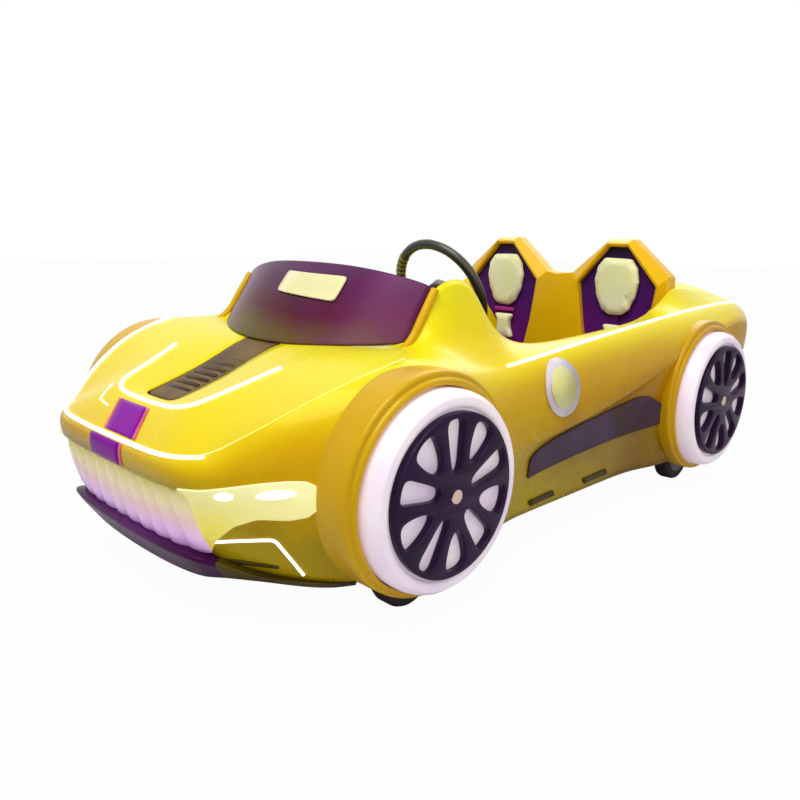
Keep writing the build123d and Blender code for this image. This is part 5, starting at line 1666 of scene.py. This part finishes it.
@dataclass
class DisplayWheels(Assembly):
    """The lit wheel covers with their arch lips, dark twin-spoke discs and hub caps."""

    face_x: float = 0.560
    centre_z: float = 0.260
    places: tuple[tuple[str, float], ...] = (("front", -0.575), ("rear", 0.575))
    cover_profile: tuple[Flat, ...] = (
        (-0.065, 0.186), (-0.045, 0.192), (-0.020, 0.1925), (-0.008, 0.190), (0.004, 0.181),
        (0.0065, 0.172), (0.0055, 0.166), (0.002, 0.162), (-0.0025, 0.160), (-0.004, 0.150),
        (-0.004, 0.080), (-0.004, 0.0001),
    )
    disc_x: float = 0.5645
    disc_radius: float = 0.1575
    disc_half: float = 0.0055
    disc_round: float = 0.0034
    disc_crown: float = 0.0015
    spoke_pairs: int = 5
    first_spoke: float = 92.0
    slot: tuple[Flat, ...] = (
        (0.044, -0.007), (0.060, -0.014), (0.100, -0.019), (0.142, -0.024),
        (0.146, 0.000), (0.142, 0.024), (0.100, 0.019), (0.060, 0.014), (0.044, 0.007),
    )
    window: tuple[Flat, ...] = (
        (0.068, -0.006), (0.086, -0.018), (0.116, -0.027), (0.140, -0.028),
        (0.147, 0.000), (0.140, 0.028), (0.116, 0.027), (0.086, 0.018), (0.068, 0.006),
    )
    cap_profile: tuple[Flat, ...] = (
        (0.008, 0.0165), (0.0125, 0.0160), (0.0150, 0.0130), (0.0158, 0.0060), (0.0159, 0.0001),
    )
    lip_profile: tuple[Flat, ...] = (
        (-0.080, 0.2235), (-0.050, 0.2240), (-0.0425, 0.2225), (-0.0400, 0.2180),
        (-0.0405, 0.2115), (-0.0395, 0.2100), (-0.0340, 0.2085), (-0.0320, 0.2040),
        (-0.0320, 0.1985), (-0.0360, 0.1950), (-0.0600, 0.1940),
    )
    lip_inner: float = 0.194
    lip_width: float = 0.030
    lip_rise: float = 0.016
    lip_narrowing: float = -0.03
    lip_back_x: float = 0.482
    lip_tuck: float = 0.055
    tuck_from: float = 0.07
    tuck_over: float = 0.06

    def build(self) -> None:
        """Builds the four wheels, a pair at a time."""
        for label, y in self.places:
            centre = (self.face_x, y, self.centre_z)
            self.cover(label, centre)
            self.disc(label, y)
            cap = both_sides(spun(self.cap_profile, 32, centre))
            self.builder.stand(f"{label}_hub_caps", cap, HUB_PEACH, smooth_to=35.0)
            self.lips(label, centre)

    def cover(self, label: str, centre: Point) -> None:
        """Spins the milky cover and its dished face.

        Args:
            label: front or rear.
            centre: the middle of the wheel's face.
        """
        mesh = both_sides(spun(self.cover_profile, 72, centre))
        nodes = (f"wheel_covers_{label}",)
        self.builder.stand(f"{label}_wheel_covers", mesh, COVER_GLOW, nodes, smooth_to=35.0)

    def disc(self, label: str, y: float) -> None:
        """Cuts the dark disc with its ten openings.

        Args:
            label: front or rear.
            y: the wheel's place along the car.
        """
        curve = bpy.data.curves.new("disc", "CURVE")
        curve.dimensions = "2D"
        curve.fill_mode = "BOTH"
        curve.extrude = self.disc_half
        curve.bevel_depth = self.disc_round
        curve.bevel_resolution = 2
        curve.offset = -self.disc_round
        curve.resolution_u = 8
        self.opening(curve, [(self.disc_radius, math.tau * step / 24, 0.0) for step in range(24)])
        pitch = 360.0 / self.spoke_pairs
        for pair in range(self.spoke_pairs):
            middle = math.radians(self.first_spoke + pair * pitch)
            self.opening(curve, [(radius, middle, beside) for radius, beside in self.slot])
            between = middle + math.radians(pitch / 2)
            self.opening(curve, [(radius, between, beside) for radius, beside in self.window])
        flat = bpy.data.objects.new("disc", curve)
        mesh = bmesh.new()
        mesh.from_mesh(flat.to_mesh())
        flat.to_mesh_clear()
        bpy.data.objects.remove(flat)
        bmesh.ops.remove_doubles(mesh, verts=mesh.verts[:], dist=SPIN_GAP)
        face_out(mesh)
        for vert in mesh.verts:
            reach = min(math.hypot(vert.co.x, vert.co.y) / self.disc_radius, 1.0)
            vert.co.z += self.disc_crown * (1.0 - reach**2)
        upright = Matrix(((0, 0, 1), (1, 0, 0), (0, 1, 0)))
        set_down(mesh, (self.disc_x, y, self.centre_z), upright)
        self.builder.stand(
            f"{label}_spoke_discs",
            both_sides(mesh),
            SPOKE_GLOSS,
            (f"spoke_discs_{label}",),
            smooth_to=35.0,
            outward=False,
        )

    @staticmethod
    def opening(curve: bpy.types.Curve, places: Sequence[Point]) -> None:
        """Adds one smooth closed outline to the disc.

        Args:
            curve: the disc's flat curve.
            places: radius, angle and sideways offset of each control point.
        """
        spline = curve.splines.new("NURBS")
        spline.points.add(len(places) - 1)
        for knot, (radius, angle, beside) in zip(spline.points, places):
            x = radius * math.cos(angle) - beside * math.sin(angle)
            y = radius * math.sin(angle) + beside * math.cos(angle)
            knot.co = (x, y, 0.0, 1.0)
        spline.order_u = 3
        spline.use_cyclic_u = True

    def lips(self, label: str, centre: Point) -> None:
        """Spins the two gold bands of the wheel arch and fits them to the body.

        Args:
            label: front or rear.
            centre: the middle of the wheel's face.
        """
        mesh = spun(self.lip_profile, 80, centre)
        _, y, middle = centre
        for vert in mesh.verts:
            reach = math.hypot(vert.co.y - y, vert.co.z - middle)
            share = max(0.0, (reach - self.lip_inner) / self.lip_width)
            low = max(0.0, (middle - vert.co.z) / reach)
            clear = min(max((vert.co.z - self.tuck_from) / self.tuck_over, 0.0), 1.0)
            if vert.co.x < self.lip_back_x:
                vert.co.x -= self.lip_tuck * clear
            vert.co.z += self.lip_rise * share * low
            vert.co.y += (vert.co.y - y) * self.lip_narrowing * share * low
        self.builder.stand(
            f"{label}_arch_lips", both_sides(mesh), DEEP_GOLD, levels=1, smooth_to=50.0
        )


@dataclass
class SidePanels(Assembly):
    """The plum skirts, sill vents and blank round badges on the flanks."""

    skin: Skin
    skirt: tuple[tuple[float, ...], ...] = (
        # foot y, z; head y, z
        (-0.215, 0.186, -0.225, 0.236), (-0.192, 0.190, -0.205, 0.254),
        (-0.109, 0.196, -0.150, 0.274), (-0.004, 0.202, -0.060, 0.287),
        (0.163, 0.207, 0.102, 0.298), (0.288, 0.210, 0.235, 0.307),
        (0.345, 0.214, 0.300, 0.300), (0.372, 0.220, 0.352, 0.274),
    )
    vents: tuple[Flat, ...] = ((-0.190, -0.092), (0.040, 0.148))
    vent_x: float = 0.456
    vent_lean: float = 0.009
    badge: Point = (0.50, -0.125, 0.383)
    ring_radius: float = 0.064
    badge_radius: float = 0.046

    def build(self) -> None:
        """Lays each piece on both flanks."""
        rows = [
            [(0.470, foot, low), (0.475, (foot + head) / 2, (low + high) / 2), (0.488, head, high)]
            for foot, low, head, high in self.skirt
        ]
        mesh = self.skin.patch(rows, 0.003, ALONG_X)
        self.builder.stand("side_skirts", both_sides(mesh), SKIRT_PLUM, wall=0.004, levels=1)
        x, lean = self.vent_x, self.vent_lean
        for index, (start, end) in enumerate(self.vents, start=1):
            rows = [
                [(x, start + lean, 0.108), (x, start, 0.122)],
                [(x, end + lean, 0.110), (x, end, 0.125)],
            ]
            mesh = self.skin.patch(rows, 0.003, ALONG_X, finer=4)
            self.builder.stand(f"sill_vents_{index}", both_sides(mesh), OLIVE_TRIM, wall=0.003)
        for name, radius, lift, finish, wall in (
            ("door_badge_rings", self.ring_radius, 0.0030, BADGE_RING, 0.003),
            ("door_badge_faces", self.badge_radius, 0.0050, BADGE_CREAM, 0.002),
        ):
            mesh = both_sides(self.round_patch(self.badge, radius, lift))
            self.builder.stand(name, mesh, finish, wall=wall)

    def round_patch(self, centre: Point, radius: float, lift: float) -> Mesh:
        """Lays a round patch on the flank.

        Args:
            centre: the patch's middle.
            radius: its radius.
            lift: how far off the surface it lies.

        Returns:
            The mesh.
        """
        mesh = bmesh.new()
        bmesh.ops.create_circle(mesh, cap_ends=True, radius=radius, segments=40)
        bmesh.ops.inset_region(mesh, faces=mesh.faces[:], thickness=radius * 0.4)
        set_down(mesh, centre, turn_by(90.0, "Y"))
        for vert in mesh.verts:
            vert.co = self.skin.met(vert.co, ALONG_X, lift)
        return mesh


@dataclass
class Seats(Assembly):
    """The seat wall and the two seats: upholstered shells, swollen cushions and pads."""

    centre_x: float = 0.2129
    cushion_half: float = 0.112
    cushion_y: Flat = (0.306, 0.545)
    cushion_z: Flat = (0.2410, 0.2840)
    pad_y: Flat = (0.5615, 0.5790)
    upper_pad: tuple[Flat, ...] = (
        (-0.046, 0.648), (0.046, 0.648), (0.068, 0.620), (0.078, 0.580), (0.070, 0.530),
        (0.048, 0.486), (0.022, 0.470), (-0.022, 0.470), (-0.048, 0.486), (-0.070, 0.530),
        (-0.078, 0.580), (-0.068, 0.620),
    )
    lower_pad: tuple[Flat, ...] = (
        (-0.040, 0.444), (0.040, 0.444), (0.030, 0.418), (0.030, 0.396), (0.040, 0.362),
        (0.032, 0.357), (-0.032, 0.357), (-0.040, 0.362), (-0.030, 0.396), (-0.030, 0.418),
    )
    pocket: tuple[Flat, ...] = (
        (-0.085, 0.200), (-0.085, 0.320), (-0.1125, 0.430), (-0.126, 0.520), (-0.132, 0.566),
        (-0.0326, 0.680), (0.0326, 0.680), (0.132, 0.566), (0.1125, 0.430), (0.085, 0.320),
        (0.085, 0.200),
    )
    frame_edge: tuple[Flat, ...] = (
        (-0.090, 0.192), (-0.092, 0.318), (-0.1205, 0.430), (-0.135, 0.520), (-0.141, 0.570),
        (-0.0360, 0.690), (0.0360, 0.690), (0.141, 0.570), (0.1205, 0.430), (0.092, 0.318),
        (0.090, 0.192),
    )
    voxel: float = 0.005
    swell_steps: int = 20
    pressure: float = 4.0

    def build(self) -> None:
        """Builds the soft parts of each seat, dresses the rest and draws the wall."""
        for label, side in (("left", 1.0), ("right", -1.0)):
            x = side * self.centre_x
            self.cushion(label, x)
            self.pads(label, x)
            self.builder.dress(f"seat_{label}", LINER_PLUM)
        self.wall()

    def wall(self) -> None:
        """Draws the two humps with their bevelled frames round the seat pockets."""
        middle = self.centre_x
        outline = (
            (-middle, 0.560, 0.140), (-middle, 0.560, 0.320), (-middle, 0.560, 0.450),
            (-middle, 0.562, 0.590), (-0.163, 0.578, 0.596), (-0.039, 0.585, 0.703),
            (0.039, 0.585, 0.703), (0.163, 0.578, 0.596), (0.170, 0.560, 0.500),
            (0.170, 0.560, 0.320), (0.170, 0.560, 0.140),
        )
        rows = [
            [(middle + x, 0.600, z) for x, z in self.pocket],
            [(middle + x, 0.562, z) for x, z in self.pocket],
            [(middle + x, 0.558, z) for x, z in self.frame_edge],
            [(middle + x, y, z) for x, y, z in outline],
            [(middle + x, 0.622, z) for x, _, z in outline],
        ]
        mesh, _ = draw_surface(rows, closed=True)
        bmesh.ops.holes_fill(mesh, edges=open_edges(mesh))
        inner = [face for face in mesh.faces if all(abs(v.co.x) < 0.0005 for v in face.verts)]
        bmesh.ops.delete(mesh, geom=inner, context="FACES_ONLY")
        self.builder.stand(
            "seat_wall_humps",
            mirrored(mesh),
            SEAT_GOLD,
            ("seat_wall",),
            edge=0.0025,
            smooth_to=30.0,
        )

    def cushion(self, label: str, x: float) -> None:
        """Swells one seat cushion from a rounded block.

        Args:
            label: left or right.
            x: the seat's middle.
        """
        front, rear = self.cushion_y
        low, high = self.cushion_z
        half = self.cushion_half
        outline = [
            (x - half, front, low), (x + half, front, low),
            (x + half, rear, low), (x - half, rear, low),
        ]
        mesh = slab(outline, (0.0, 0.0, high - low))
        soften(mesh, 0.014, segments=3)
        nodes = (f"seat_cushion_{label}",)
        made = self.builder.stand(
            f"seat_cushion_{label}_soft", mesh, LINER_PLUM, nodes, smooth_to=180.0
        )
        self.swell(made, 0.007)

    def pads(self, label: str, x: float) -> None:
        """Swells the oval back pad and the waisted lower pad, joined by a strap.

        Args:
            label: left or right.
            x: the seat's middle.
        """
        near, far = self.pad_y
        deep = (0.0, far - near, 0.0)
        mesh = slab([(x + beside, near, z) for beside, z in self.upper_pad], deep)
        add_mesh(mesh, slab([(x + beside, near, z) for beside, z in self.lower_pad], deep))
        soften(mesh, 0.006, segments=3, sharper_than=45.0)
        nodes = (f"seat_pads_{label}",)
        made = self.builder.stand(
            f"seat_pads_{label}_soft", mesh, PAD_CREAM, nodes, smooth_to=180.0
        )
        self.swell(made, 0.005)
        self.strip(f"seat_pad_strap_{label}", x, 0.572, 0.007, (0.012, 0.440, 0.012, 0.476))
        if x < 0:
            self.strip(f"seat_bar_{label}", x, 0.563, 0.013, (0.040, 0.452, 0.038, 0.464))

    def strip(self, name: str, x: float, y: float, depth: float, ends: Sequence[float]) -> None:
        """Makes the strap or the cross bar between the two pads.

        Args:
            name: the piece's name.
            x: the seat's middle.
            y: the strip's front.
            depth: its depth.
            ends: half width and height at its foot, then at its head.
        """
        foot, low, head, high = ends
        outline = [
            (x - foot, y, low), (x + foot, y, low), (x + head, y, high), (x - head, y, high),
        ]
        finish = MAGENTA_BAR if "bar" in name else LINER_PLUM
        self.builder.stand(name, slab(outline, (0.0, depth, 0.0)), finish, edge=0.002)

    def swell(self, made: bpy.types.Object, cap: float) -> None:
        """Remeshes a soft piece, swells it under pressure and smooths it.

        Args:
            made: the piece.
            cap: how far a point may move.
        """
        remesh = made.modifiers.new("Even", "REMESH")
        remesh.mode = "VOXEL"
        remesh.voxel_size = self.voxel
        self.keep_shape(made)
        before = [vert.co.copy() for vert in made.data.vertices]
        cloth = made.modifiers.new("Swell", "CLOTH")
        cloth.settings.use_pressure = True
        cloth.settings.uniform_pressure_force = self.pressure
        cloth.settings.effector_weights.gravity = 0.0
        for step in range(self.swell_steps):
            bpy.context.scene.frame_set(step + 1)
        self.keep_shape(made)
        bpy.context.scene.frame_set(1)
        for vert, start in zip(made.data.vertices, before):
            move = vert.co - start
            if move.length > cap:
                vert.co = start + move.normalized() * cap
        finer = made.modifiers.new("Finer", "SUBSURF")
        finer.levels = finer.render_levels = 1
        self.keep_shape(made)
        made.data.shade_smooth()

    @staticmethod
    def keep_shape(made: bpy.types.Object) -> None:
        """Makes the shown shape the piece's own mesh and drops its modifiers.

        Args:
            made: the piece.
        """
        graph = bpy.context.evaluated_depsgraph_get()
        graph.update()
        data = bpy.data.meshes.new_from_object(made.evaluated_get(graph))
        made.modifiers.clear()
        old = made.data
        name = old.name
        made.data = data
        bpy.data.meshes.remove(old)
        data.name = name


@dataclass
class SteeringWheel(Assembly):
    """The tilted wheel with its ribbed grip, spokes and hub, and its column."""

    centre: Point = (-0.2049, 0.227, 0.530)
    tilt: float = -66.5
    radius: float = 0.165
    tube: float = 0.0150
    spokes: Point = (12.0, 168.0, 90.0)
    hub_profile: tuple[Flat, ...] = (
        (-0.024, 0.0001), (-0.024, 0.030), (-0.018, 0.040), (0.010, 0.042), (0.018, 0.036),
        (0.020, 0.020), (0.021, 0.0001),
    )
    ribs: int = 12
    first_rib: float = 150.0
    rib_pitch: float = 6.8
    rib_half: float = 0.0065

    def build(self) -> None:
        """Builds the rim with its spokes and hub, and the ribs of the grip."""
        mesh = bmesh.new()
        ring = [
            (self.radius + self.tube * math.cos(a), 0.0, self.tube * math.sin(a))
            for a in (math.tau * part / 16 for part in range(16))
        ]
        spin_round(mesh, chain(mesh, ring, closed=True), 96, ORIGIN, (0, 0, 1))
        add_mesh(mesh, spun(self.hub_profile, 40, ORIGIN, (0, 0, 1)))
        for angle in self.spokes:
            add_mesh(mesh, self.spoke(angle))
        self.finish("steering_wheel_rim", mesh, WHEEL_RIM_BLACK, ("steering_wheel",))
        mesh = bmesh.new()
        for step in range(self.ribs):
            self.rib(mesh, self.first_rib + step * self.rib_pitch)
        self.finish("steering_wheel_grip_ribs", mesh, GRIP_OLIVE)
        self.builder.dress("steering_column", ZINC_STEEL)

    def rib(self, mesh: Mesh, angle: float) -> None:
        """Adds one raised rib round the rim's tube.

        Args:
            mesh: the mesh that gets it.
            angle: its direction in degrees.
        """
        start = len(mesh.verts)
        foot, shoulder, crown = self.tube - 0.001, self.tube + 0.0012, self.tube + 0.0018
        half = self.rib_half
        profile = (
            (-half, foot), (-0.005, shoulder), (0.0, crown), (0.005, shoulder), (half, foot),
        )
        add_mesh(mesh, spun(profile, 16, ORIGIN, (0, 1, 0)))
        mesh.verts.ensure_lookup_table()
        fresh = mesh.verts[start:]
        bmesh.ops.translate(mesh, vec=(self.radius, 0.0, 0.0), verts=fresh)
        set_down(mesh, ORIGIN, turn_by(angle, "Z"), fresh)

    def spoke(self, angle: float) -> Mesh:
        """Draws one flat crowned spoke from the hub to the rim.

        Args:
            angle: its direction in degrees.

        Returns:
            The mesh.
        """
        rows = [
            [
                (reach, -half, -thick), (reach, -half, thick * 0.4), (reach, -half * 0.5, thick),
                (reach, half * 0.5, thick), (reach, half, thick * 0.4), (reach, half, -thick),
            ]
            for reach, half, thick in (
                (0.030, 0.022, 0.008), (0.080, 0.016, 0.006),
                (0.130, 0.015, 0.006), (0.158, 0.020, 0.007),
            )
        ]
        mesh, lines = draw_surface(rows, closed=True)
        for ends in (lines[0], lines[-1]):
            mesh.faces.new(ends)
        face_out(mesh)
        set_down(mesh, ORIGIN, turn_by(angle, "Z"))
        return mesh

    def finish(
        self, name: str, mesh: Mesh, finish: Finish, nodes: Sequence[str] = ()
    ) -> None:
        """Tilts a flat part of the wheel, sets it on the column and finishes it.

        Args:
            name: the piece's name.
            mesh: the part.
            finish: the surface finish.
            nodes: the frame's nodes that it stands for.
        """
        set_down(mesh, self.centre, turn_by(self.tilt, "X"))
        body = Part.STEERING.value
        self.builder.stand(name, mesh, finish, nodes, body=body, smooth_to=50.0)


@dataclass
class RoadWheels(Assembly):
    """The four small road wheels with treaded tyres."""

    x: float = 0.435
    centre_z: float = 0.0725
    radius: float = 0.0725
    half_width: float = 0.0225
    bead: float = 0.0503
    places: tuple[tuple[str, float], ...] = (("front", -0.575), ("rear", 0.575))

    def build(self) -> None:
        """Builds each tyre and dresses each hub."""
        for end, y in self.places:
            for label, side in (("left", 1.0), ("right", -1.0)):
                self.builder.stand(
                    f"{end}_tyre_{label}_treaded",
                    self.tyre((side * self.x, y, self.centre_z)),
                    RUBBER,
                    (f"{end}_tyre_{label}",),
                    body=f"{end}_wheel_{label}",
                )
                self.builder.dress(f"{end}_hub_{label}", HUB_GREY)

    def tyre(self, centre: Point) -> Mesh:
        """Spins a tyre and cuts its tread grooves.

        Args:
            centre: the tyre's middle.

        Returns:
            The mesh.
        """
        half, outer = self.half_width, self.radius
        cheek = [
            (0.8, self.bead), (1.0, 0.054), (1.0, outer - 0.008), (0.86, outer - 0.0025),
            (0.6, outer), (0.12, outer),
        ]
        profile = [(-half * share, radius) for share, radius in cheek]
        profile += [(half * share, radius) for share, radius in reversed(cheek)]
        mesh = spun(profile, 60, centre)
        tread = []
        for face in mesh.faces:
            away = face.calc_center_median() - Vector(centre)
            if math.hypot(away.y, away.z) > outer - 0.0012 and abs(away.x) > half * 0.2:
                tread.append(face)
        bmesh.ops.inset_individual(mesh, faces=tread, thickness=0.0011, depth=-0.0012)
        bmesh.ops.holes_fill(mesh, edges=open_edges(mesh))
        return mesh


@dataclass
class Tail(Assembly):
    """The tail lamp bar and the rear bumper."""

    lamp_half: float = 0.359
    lamp_steps: int = 60
    rib_depth: float = 0.0012
    lamp_section: tuple[Flat, ...] = (
        (0.9553, 0.4005), (0.9630, 0.4030), (0.9648, 0.4140), (0.9630, 0.4250), (0.9553, 0.4275),
    )
    bumper_half: float = 0.378
    bumper_z: float = 0.185
    bumper_sweep: float = 0.022
    bumper_section: tuple[Flat, ...] = (
        (0.935, 0.208), (0.957, 0.211), (0.964, 0.202), (0.965, 0.185),
        (0.964, 0.168), (0.957, 0.160), (0.935, 0.162),
    )

    def build(self) -> None:
        """Builds the ribbed lamp and the curved bumper."""
        last = self.lamp_steps
        rows = []
        for depth, z in self.lamp_section:
            row = []
            for step in range(last + 1):
                rib = self.rib_depth * (step % 2) if 0 < step < last else -0.002
                x = self.lamp_half * (2 * step / last - 1)
                row.append((x, depth - rib * (1 if depth > 0.96 else 0), z))
            rows.append(row)
        self.builder.sheet(
            "tail_lamp_bar", rows, TAIL_RED, ("tail_lamp",), wall=0.002, levels=0, smooth_to=30.0
        )
        half, middle = self.bumper_half, self.bumper_z
        rows = [
            [
                (x, y - self.bumper_sweep * (abs(x) / half) ** 6, middle + (z - middle) * slim)
                for y, z in self.bumper_section
            ]
            for x, slim in (
                (-half, 0.7), (-0.372, 0.92), (-0.330, 1.0), (-0.240, 1.0), (-0.120, 1.0),
                (0.0, 1.0), (0.120, 1.0), (0.240, 1.0), (0.330, 1.0), (0.372, 0.92), (half, 0.7),
            )
        ]
        mesh, _ = draw_surface(rows, closed=True)
        bmesh.ops.holes_fill(mesh, edges=open_edges(mesh))
        nodes = ("rear_bumper",)
        self.builder.stand(
            "rear_bumper_bar", mesh, PURPLE_GLOSS, nodes, levels=2, smooth_to=60.0
        )


@dataclass
class RunningGear(Assembly):
    """The frame, axles, steering links, motor, battery, floor and footwell wall."""

    finishes: tuple[tuple[str, Finish], ...] = (
        ("chassis_frame", FRAME_BLACK),
        ("floor_pan", FLOOR_GREY),
        ("front_axle", FRAME_BLACK),
        ("rear_axle", ZINC_STEEL),
        ("tie_rod", ZINC_STEEL),
        ("knuckle_left", FRAME_BLACK),
        ("knuckle_right", FRAME_BLACK),
        ("motor", MOTOR_GREY),
        ("battery", BATTERY_BLACK),
    )
    wall_half: float = 0.372
    wall_y: float = -0.402
    wall_z: Flat = (0.137, 0.466)

    def build(self) -> None:
        """Dresses each part under the body and closes the footwell."""
        for name, finish in self.finishes:
            self.builder.dress(name, finish)
        half, y = self.wall_half, self.wall_y
        low, high = self.wall_z
        outline = [(-half, y, low), (half, y, low), (half, y, high), (-half, y, high)]
        wall = slab(outline, (0.0, 0.005, 0.0))
        self.builder.stand("footwell_bulkhead", wall, FLOOR_GREY, edge=0.002)


@dataclass
class Studio:
    """The pale floor, soft lamps, white surround and the camera."""

    camera_place: Point = (1.4154, -1.5603, 0.7329)
    azimuth: float = 45.1428
    elevation: float = 12.8805
    roll: float = 0.6349
    lens: float = 34.125
    soft_lamps: tuple[tuple[str, Point, float, float], ...] = (
        ("Key lamp", (0.4, -1.8, 4.2), 2.6, 135.0),
        ("Fill lamp", (3.4, -0.9, 2.4), 3.0, 30.0),
        ("Rear lamp", (-1.4, 3.4, 3.2), 3.0, 60.0),
    )
    floor_half: float = 14.0
    floor_grey: Colour = (0.70, 0.70, 0.70)
    floor_white_share: float = 0.97
    world_light: float = 0.32

    def build(self) -> None:
        """Builds the studio round the car."""
        self.camera()
        self.floor()
        self.lamps()
        self.surround()
        bpy.context.scene.view_settings.view_transform = "Standard"

    def camera(self) -> None:
        """Sets the camera at the photograph's place."""
        turned, raised = math.radians(self.azimuth), math.radians(self.elevation)
        level = math.cos(raised)
        back = Vector((math.sin(turned) * level, -math.cos(turned) * level, math.sin(raised)))
        right = (-back).cross(Vector((0.0, 0.0, 1.0))).normalized()
        up = right.cross(-back)
        roll = math.radians(self.roll)
        rolled_right = math.cos(roll) * right + math.sin(roll) * up
        rolled_up = -math.sin(roll) * right + math.cos(roll) * up
        turn = Matrix((rolled_right, rolled_up, back)).transposed()
        data = bpy.data.cameras.new("Camera")
        data.lens = self.lens
        data.sensor_width = 36.0
        data.clip_start, data.clip_end = 0.05, 60.0
        made = bpy.data.objects.new("Camera", data)
        made.matrix_world = Matrix.Translation(self.camera_place) @ turn.to_4x4()
        bpy.context.scene.collection.objects.link(made)
        bpy.context.scene.camera = made

    def floor(self) -> None:
        """Lays the pale floor that takes the car's shadow."""
        mesh = bmesh.new()
        bmesh.ops.create_grid(mesh, x_segments=2, y_segments=2, size=self.floor_half)
        data = bpy.data.meshes.new("floor")
        mesh.to_mesh(data)
        mesh.free()
        made = bpy.data.objects.new("floor", data)
        bpy.context.scene.collection.objects.link(made)
        material = bpy.data.materials.new("Pale floor")
        material.use_nodes = True
        tree = material.node_tree
        shader = tree.nodes["Principled BSDF"]
        matt = {
            "Base Color": solid(self.floor_grey), "Roughness": 0.9, "Specular IOR Level": 0.1,
        }
        feed(tree, shader, matt)
        white = node(tree, "Emission", {"Strength": 1.0}).outputs[0]
        seen = node(tree, "LightPath", {}).outputs["Is Camera Ray"]
        share = node(tree, "Math", {0: seen, 1: self.floor_white_share}, operation="MULTIPLY")
        shown = node(tree, "MixShader", {0: share.outputs[0], 1: shader.outputs[0], 2: white})
        feed(tree, tree.nodes["Material Output"], {"Surface": shown.outputs[0]})
        data.materials.append(material)

    def lamps(self) -> None:
        """Hangs three large soft lamps."""
        for name, place, size, power in self.soft_lamps:
            data = bpy.data.lights.new(name, "AREA")
            data.shape = "SQUARE"
            data.size = size
            data.energy = power
            made = bpy.data.objects.new(name, data)
            made.location = place
            aim = Vector((0.0, 0.0, 0.3)) - Vector(place)
            made.rotation_mode = "QUATERNION"
            made.rotation_quaternion = aim.to_track_quat("-Z", "Y")
            bpy.context.scene.collection.objects.link(made)

    def surround(self) -> None:
        """Makes the world white to the eye and in reflections, and a mild grey as a light."""
        world = bpy.data.worlds.new("Studio")
        bpy.context.scene.world = world
        world.use_nodes = True
        tree = world.node_tree
        path = node(tree, "LightPath", {}).outputs
        seen = path["Is Camera Ray"]
        for ray in ("Is Glossy Ray", "Is Transmission Ray"):
            seen = node(tree, "Math", {0: seen, 1: path[ray]}, operation="MAXIMUM").outputs[0]
        strength = node(
            tree, "MapRange", {"Value": seen, "To Min": self.world_light, "To Max": 1.0}
        ).outputs["Result"]
        white = {"Strength": strength, "Color": (1.0, 1.0, 1.0, 1.0)}
        feed(tree, tree.nodes["Background"], white)


def main() -> None:
    """Builds the dressed car and its studio, in order."""
    logging.basicConfig(level=logging.INFO, format="%(name)s: %(message)s")
    Studio().build()
    builder = Builder()
    body = BodyShell(builder)
    skin = Skin(body.build())
    LightLines(builder, body).build()
    NoseFront(builder, skin).build()
    HoodVent(builder).build()
    Windscreen(builder).build()
    Scuttle(builder).build()
    DisplayWheels(builder).build()
    SidePanels(builder, skin).build()
    Seats(builder).build()
    SteeringWheel(builder).build()
    RoadWheels(builder).build()
    Tail(builder).build()
    RunningGear(builder).build()
    LOG.info("%d pieces made", len(builder.made))


if __name__ == "__main__":
    main()
